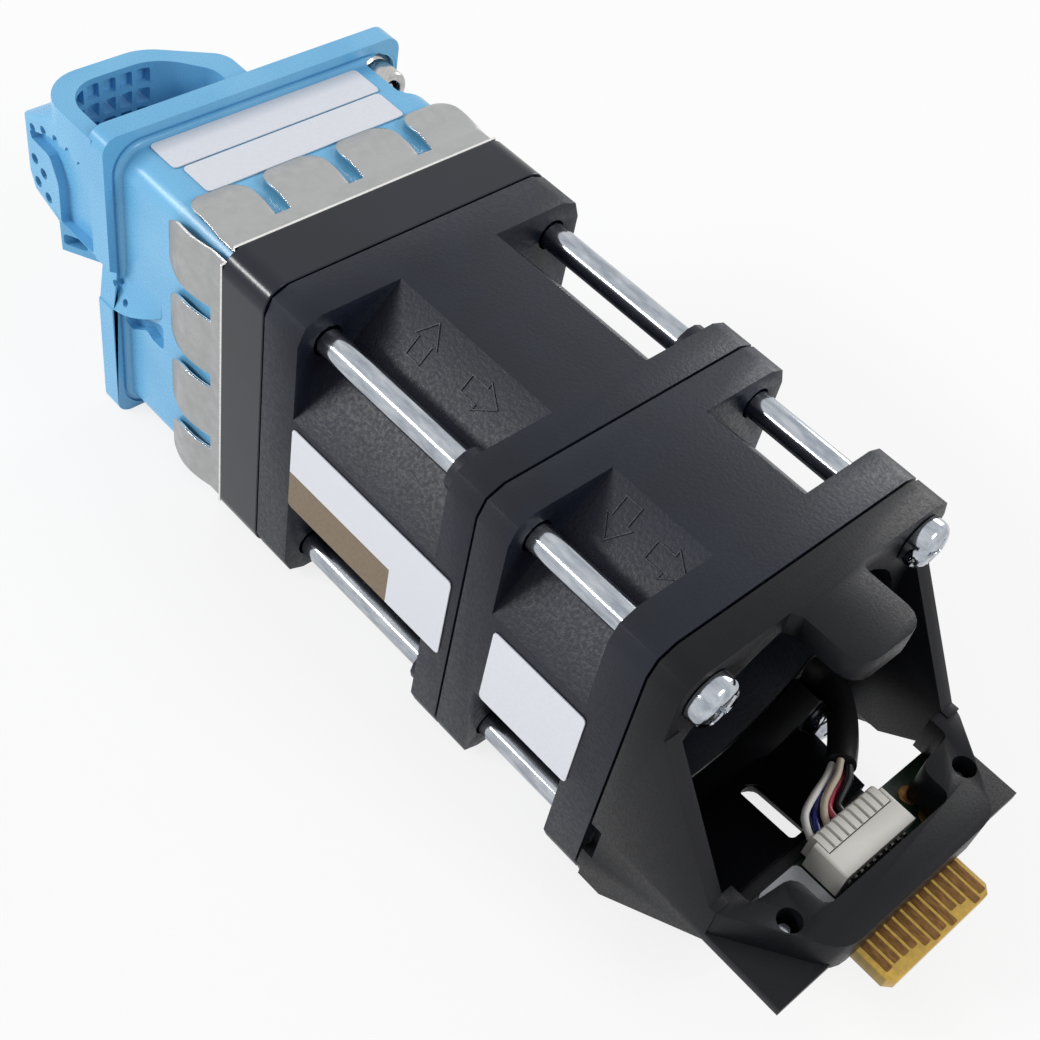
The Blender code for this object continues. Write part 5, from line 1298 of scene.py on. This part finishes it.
def leads() -> list[Wire]:
    """Sleeve and wires, with the routes that the frame's nodes follow."""
    wires = [
        (WHITE_WIRE, ((-4.6, 67.4, -6.3), (-2.3, 68.2, -5.9), (0.3, 68.8, -5.8), (2.4, 69.5, -6.0),
                      (3.3, 70.4, -6.3), (4.1, 71.9, -6.6))),
        (BLUE_WIRE, ((-4.8, 68.0, -7.2), (-2.4, 68.3, -7.1), (-0.2, 69.1, -7.0), (1.3, 70.1, -6.9),
                     (2.2, 71.0, -6.7), (2.85, 71.9, -6.6))),
        (TAN_WIRE, ((-5.1, 67.8, -5.4), (-3.3, 68.8, -5.3), (-1.4, 69.4, -5.4), (0.0, 70.0, -5.8),
                    (0.9, 70.9, -6.2), (1.4, 71.9, -6.6))),
        (RED_WIRE, ((-5.4, 68.9, -6.9), (-3.6, 69.4, -6.7), (-2.0, 69.8, -6.7), (-0.7, 70.4, -6.7),
                    (-0.1, 71.0, -6.6), (0.1, 71.9, -6.6))),
        (BLACK_WIRE, ((-5.6, 68.8, -5.8), (-4.4, 69.8, -5.9), (-3.2, 70.3, -6.1), (-2.1, 70.7, -6.4),
                      (-1.4, 71.1, -6.6), (-1.1, 71.9, -6.6))),
    ]
    sleeve = ((-15.7, 56.4, -10.2), (-15.6, 59.6, -9.8), (-12.6, 63.0, -8.6), (-8.6, 66.0, -7.2), (-5.4, 68.0, -6.4))
    result = [Wire("fan_lead_sleeve", "lead_sleeve", SLEEVE_BLACK, sleeve, 1.7)]
    result += [Wire("fan_wire_%d" % k, "lead_wire_%d" % k, finish, route)
               for k, (finish, route) in enumerate(wires, start=1)]
    return result


def screws() -> None:
    """Four tie screws, two board screws and the captive screw."""
    for k, (x, z) in enumerate(((16.0, 16.0), (-16.0, 16.0), (-16.0, -16.0), (16.0, -16.0)), start=1):
        Screw("tie_rod_screw_%d" % k, (x, 0.0, z), Axis.Y, 59.9, -15.7, 1.65, 2.9, 2.4, 9.0, 0.7, 0.5 + 0.37 * k
              ).build(ROOT, "tie_screw_%d" % k, BRIGHT_ZINC)
    for side, x in (("left", -14.5), ("right", 14.5)):
        Screw("shelf_screw_" + side, (x, 77.0, 0.0), Axis.Z, -11.2, -6.0, 1.1, 2.2, 1.2, 3.6, 0.5, 0.9
              ).build(ROOT, "board_screw_" + side, BRIGHT_ZINC)
    Screw("captive_thumb_screw", (-17.4, 0.0, 16.2), Axis.Y, -31.6, -25.1, 1.05, 2.2, 1.8, 1.6, 0.45, 0.4,
          neck=(0.75, 3.85, 3.25)).build("captive_screw_body", "captive_screw", TURNED_STEEL)


@dataclass
class Studio:
    """White floor, soft lamps and the camera that the photograph's straight edges give."""

    eye: tuple = (95.413, 95.133, 125.886)
    right: tuple = (-0.727859, 0.667710, 0.156156)
    up: tuple = (-0.469065, -0.650915, 0.596898)
    back: tuple = (0.500198, 0.361210, 0.786974)
    focal_px: float = 1543.45
    centre_px: tuple = (515.68, 633.23)
    picture_px: float = 1040.0
    sky: float = 0.55

    def camera(self) -> None:
        """Stand the camera where the photograph's straight edges put it."""
        lens = bpy.data.cameras.new("camera")
        lens.sensor_width = 36.0
        lens.lens = 36.0 * self.focal_px / self.picture_px
        lens.shift_x = (self.picture_px / 2 - self.centre_px[0]) / self.picture_px
        lens.shift_y = (self.centre_px[1] - self.picture_px / 2) / self.picture_px
        lens.clip_start = 0.01
        lens.clip_end = 20.0
        stand = bpy.data.objects.new("camera", lens)
        bpy.context.collection.objects.link(stand)
        turn = Matrix((self.right, self.up, self.back)).transposed().to_4x4()
        turn.translation = Vector(to_world(self.eye))
        stand.matrix_world = turn
        bpy.context.scene.camera = stand

    def lamp(self, name: str, place: tuple, size: tuple, watts: float) -> None:
        """Soft flat lamp aimed at the module's middle.

        Args:
            name: Lamp's name.
            place: Where it stands, in metres.
            size: Its width and height in metres.
            watts: Power.
        """
        light = bpy.data.lights.new(name, "AREA")
        light.energy = watts
        light.shape = "RECTANGLE"
        light.size, light.size_y = size
        stand = bpy.data.objects.new(name, light)
        bpy.context.collection.objects.link(stand)
        stand.location = place
        aim = Vector((0.0, 0.0, 0.02)) - Vector(place)
        stand.rotation_mode = "QUATERNION"
        stand.rotation_quaternion = aim.to_track_quat("-Z", "Y")

    @staticmethod
    def seen_directly(tree: bpy.types.NodeTree) -> bpy.types.NodeSocket:
        """Mask of the rays that show the background: camera, mirror and glass rays."""
        path = add_node(tree, "ShaderNodeLightPath")
        seen = path.outputs["Is Camera Ray"]
        for ray in ("Is Glossy Ray", "Is Transmission Ray"):
            seen = add_node(tree, "ShaderNodeMath", {0: seen, 1: path.outputs[ray]}, operation="MAXIMUM").outputs[0]
        return seen

    def world(self) -> None:
        """White background for the camera, softer grey light for the surfaces."""
        world = bpy.data.worlds.new("studio")
        bpy.context.scene.world = world
        world.use_nodes = True
        tree = world.node_tree
        tree.nodes.clear()
        seen = self.seen_directly(tree)
        soft = add_node(tree, "ShaderNodeBackground", {"Strength": self.sky})
        white = add_node(tree, "ShaderNodeBackground", {"Strength": 1.0, "Color": (1.0, 1.0, 1.0, 1.0)})
        mix = add_node(tree, "ShaderNodeMixShader", {0: seen, 1: soft.outputs[0], 2: white.outputs[0]})
        add_node(tree, "ShaderNodeOutputWorld", {"Surface": mix.outputs[0]})

    def floor(self) -> None:
        """Pale floor that keeps the module's shadow."""
        half = 3.0
        mesh = bpy.data.meshes.new("floor")
        mesh.from_pydata([(-half, -half, 0.0), (half, -half, 0.0), (half, half, 0.0), (-half, half, 0.0)], [],
                         [(0, 1, 2, 3)])
        plane = bpy.data.objects.new("floor", mesh)
        bpy.context.collection.objects.link(plane)
        surface, tree, shader = new_surface("floor_white_card", Roughness=0.9)
        shader.inputs["Base Color"].default_value = (0.9, 0.9, 0.9, 1.0)
        glow = add_node(tree, "ShaderNodeEmission", {"Strength": 1.0})
        share = add_node(tree, "ShaderNodeMath", {0: self.seen_directly(tree), 1: 0.8}, operation="MULTIPLY")
        mix = add_node(tree, "ShaderNodeMixShader", {0: share.outputs[0], 1: shader.outputs[0], 2: glow.outputs[0]})
        tree.links.new(mix.outputs[0], tree.nodes["Material Output"].inputs["Surface"])
        mesh.materials.append(surface)

    def build(self) -> None:
        """Set up the whole studio."""
        self.camera()
        self.lamp("key", (0.72, -0.50, 0.50), (0.5, 0.11), 5.5)
        self.lamp("rear", (-0.25, 0.95, 0.75), (0.4, 0.4), 4.5)
        self.lamp("left", (-0.95, -0.1, 0.35), (0.4, 0.4), 3.0)
        self.world()
        self.floor()
        view = bpy.context.scene.view_settings
        view.view_transform = "Standard"


def dress_carried() -> None:
    """Dress every CAD node that stays in view."""
    carried = CarriedNodes()
    carried.dress("rear_bracket", BRACKET_BLACK, 0.25)
    for fan in ("fan_1_", "fan_2_"):
        carried.dress(fan + "frame", BLACK, 0.25)
        for part, finish in (("rotor_yoke", DRAWN_STEEL), ("magnet", FERRITE), ("shaft", DRAWN_STEEL),
                             ("bearing_inner", DRAWN_STEEL), ("bearing_outer", DRAWN_STEEL),
                             ("stator", WINDING), ("board", FAN_BOARD)):
            carried.dress(fan + part, finish)
    carried.dress("retaining_ring", TURNED_STEEL)
    carried.dress("card_edge_board", CARD_EDGE, 0.1)
    carried.dress("board_header", IVORY, 0.1)
    for name in ("housing_label_front", "housing_label_rear", "fan_2_label", "board_label"):
        carried.dress(name, HOUSING_LABEL)
    carried.dress("fan_1_label", FAN_LABEL_BANDED)


def make_pieces() -> None:
    """Make every piece that stands for a node or is added to one."""
    GripHousing().build()
    Collar().build()
    for side, length, shift in ((Side.TOP, 6.4, 0.0), (Side.LEFT, 7.4, -0.7), (Side.BOTTOM, 6.4, 0.0),
                                (Side.RIGHT, 7.4, 0.7)):
        SpringStrip(side, length, shift).build()
    screws()
    Ferrule().build()
    Impeller("fan_1", "fan_1_rotor", 32.7, -1.0, 32.7, 4.0).build()
    Impeller("fan_2", "fan_2_rotor", 33.0, 1.0, 22.7, 3.0).build()
    FlowArrows("fan_1", (3.5, 21.4), (3.15, 12.4), -1.0).build()
    FlowArrows("fan_2", (3.45, 48.05), (3.5, 41.4), 1.0).build()
    FloorSkin().build()
    for wire in leads():
        wire.build()
    Connector().build()


def main() -> None:
    """Build the studio and the module's pieces in order."""
    logging.basicConfig(level=logging.INFO, format="%(name)s: %(message)s")
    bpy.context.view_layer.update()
    Studio().build()
    dress_carried()
    make_pieces()


if __name__ == "__main__":
    main()
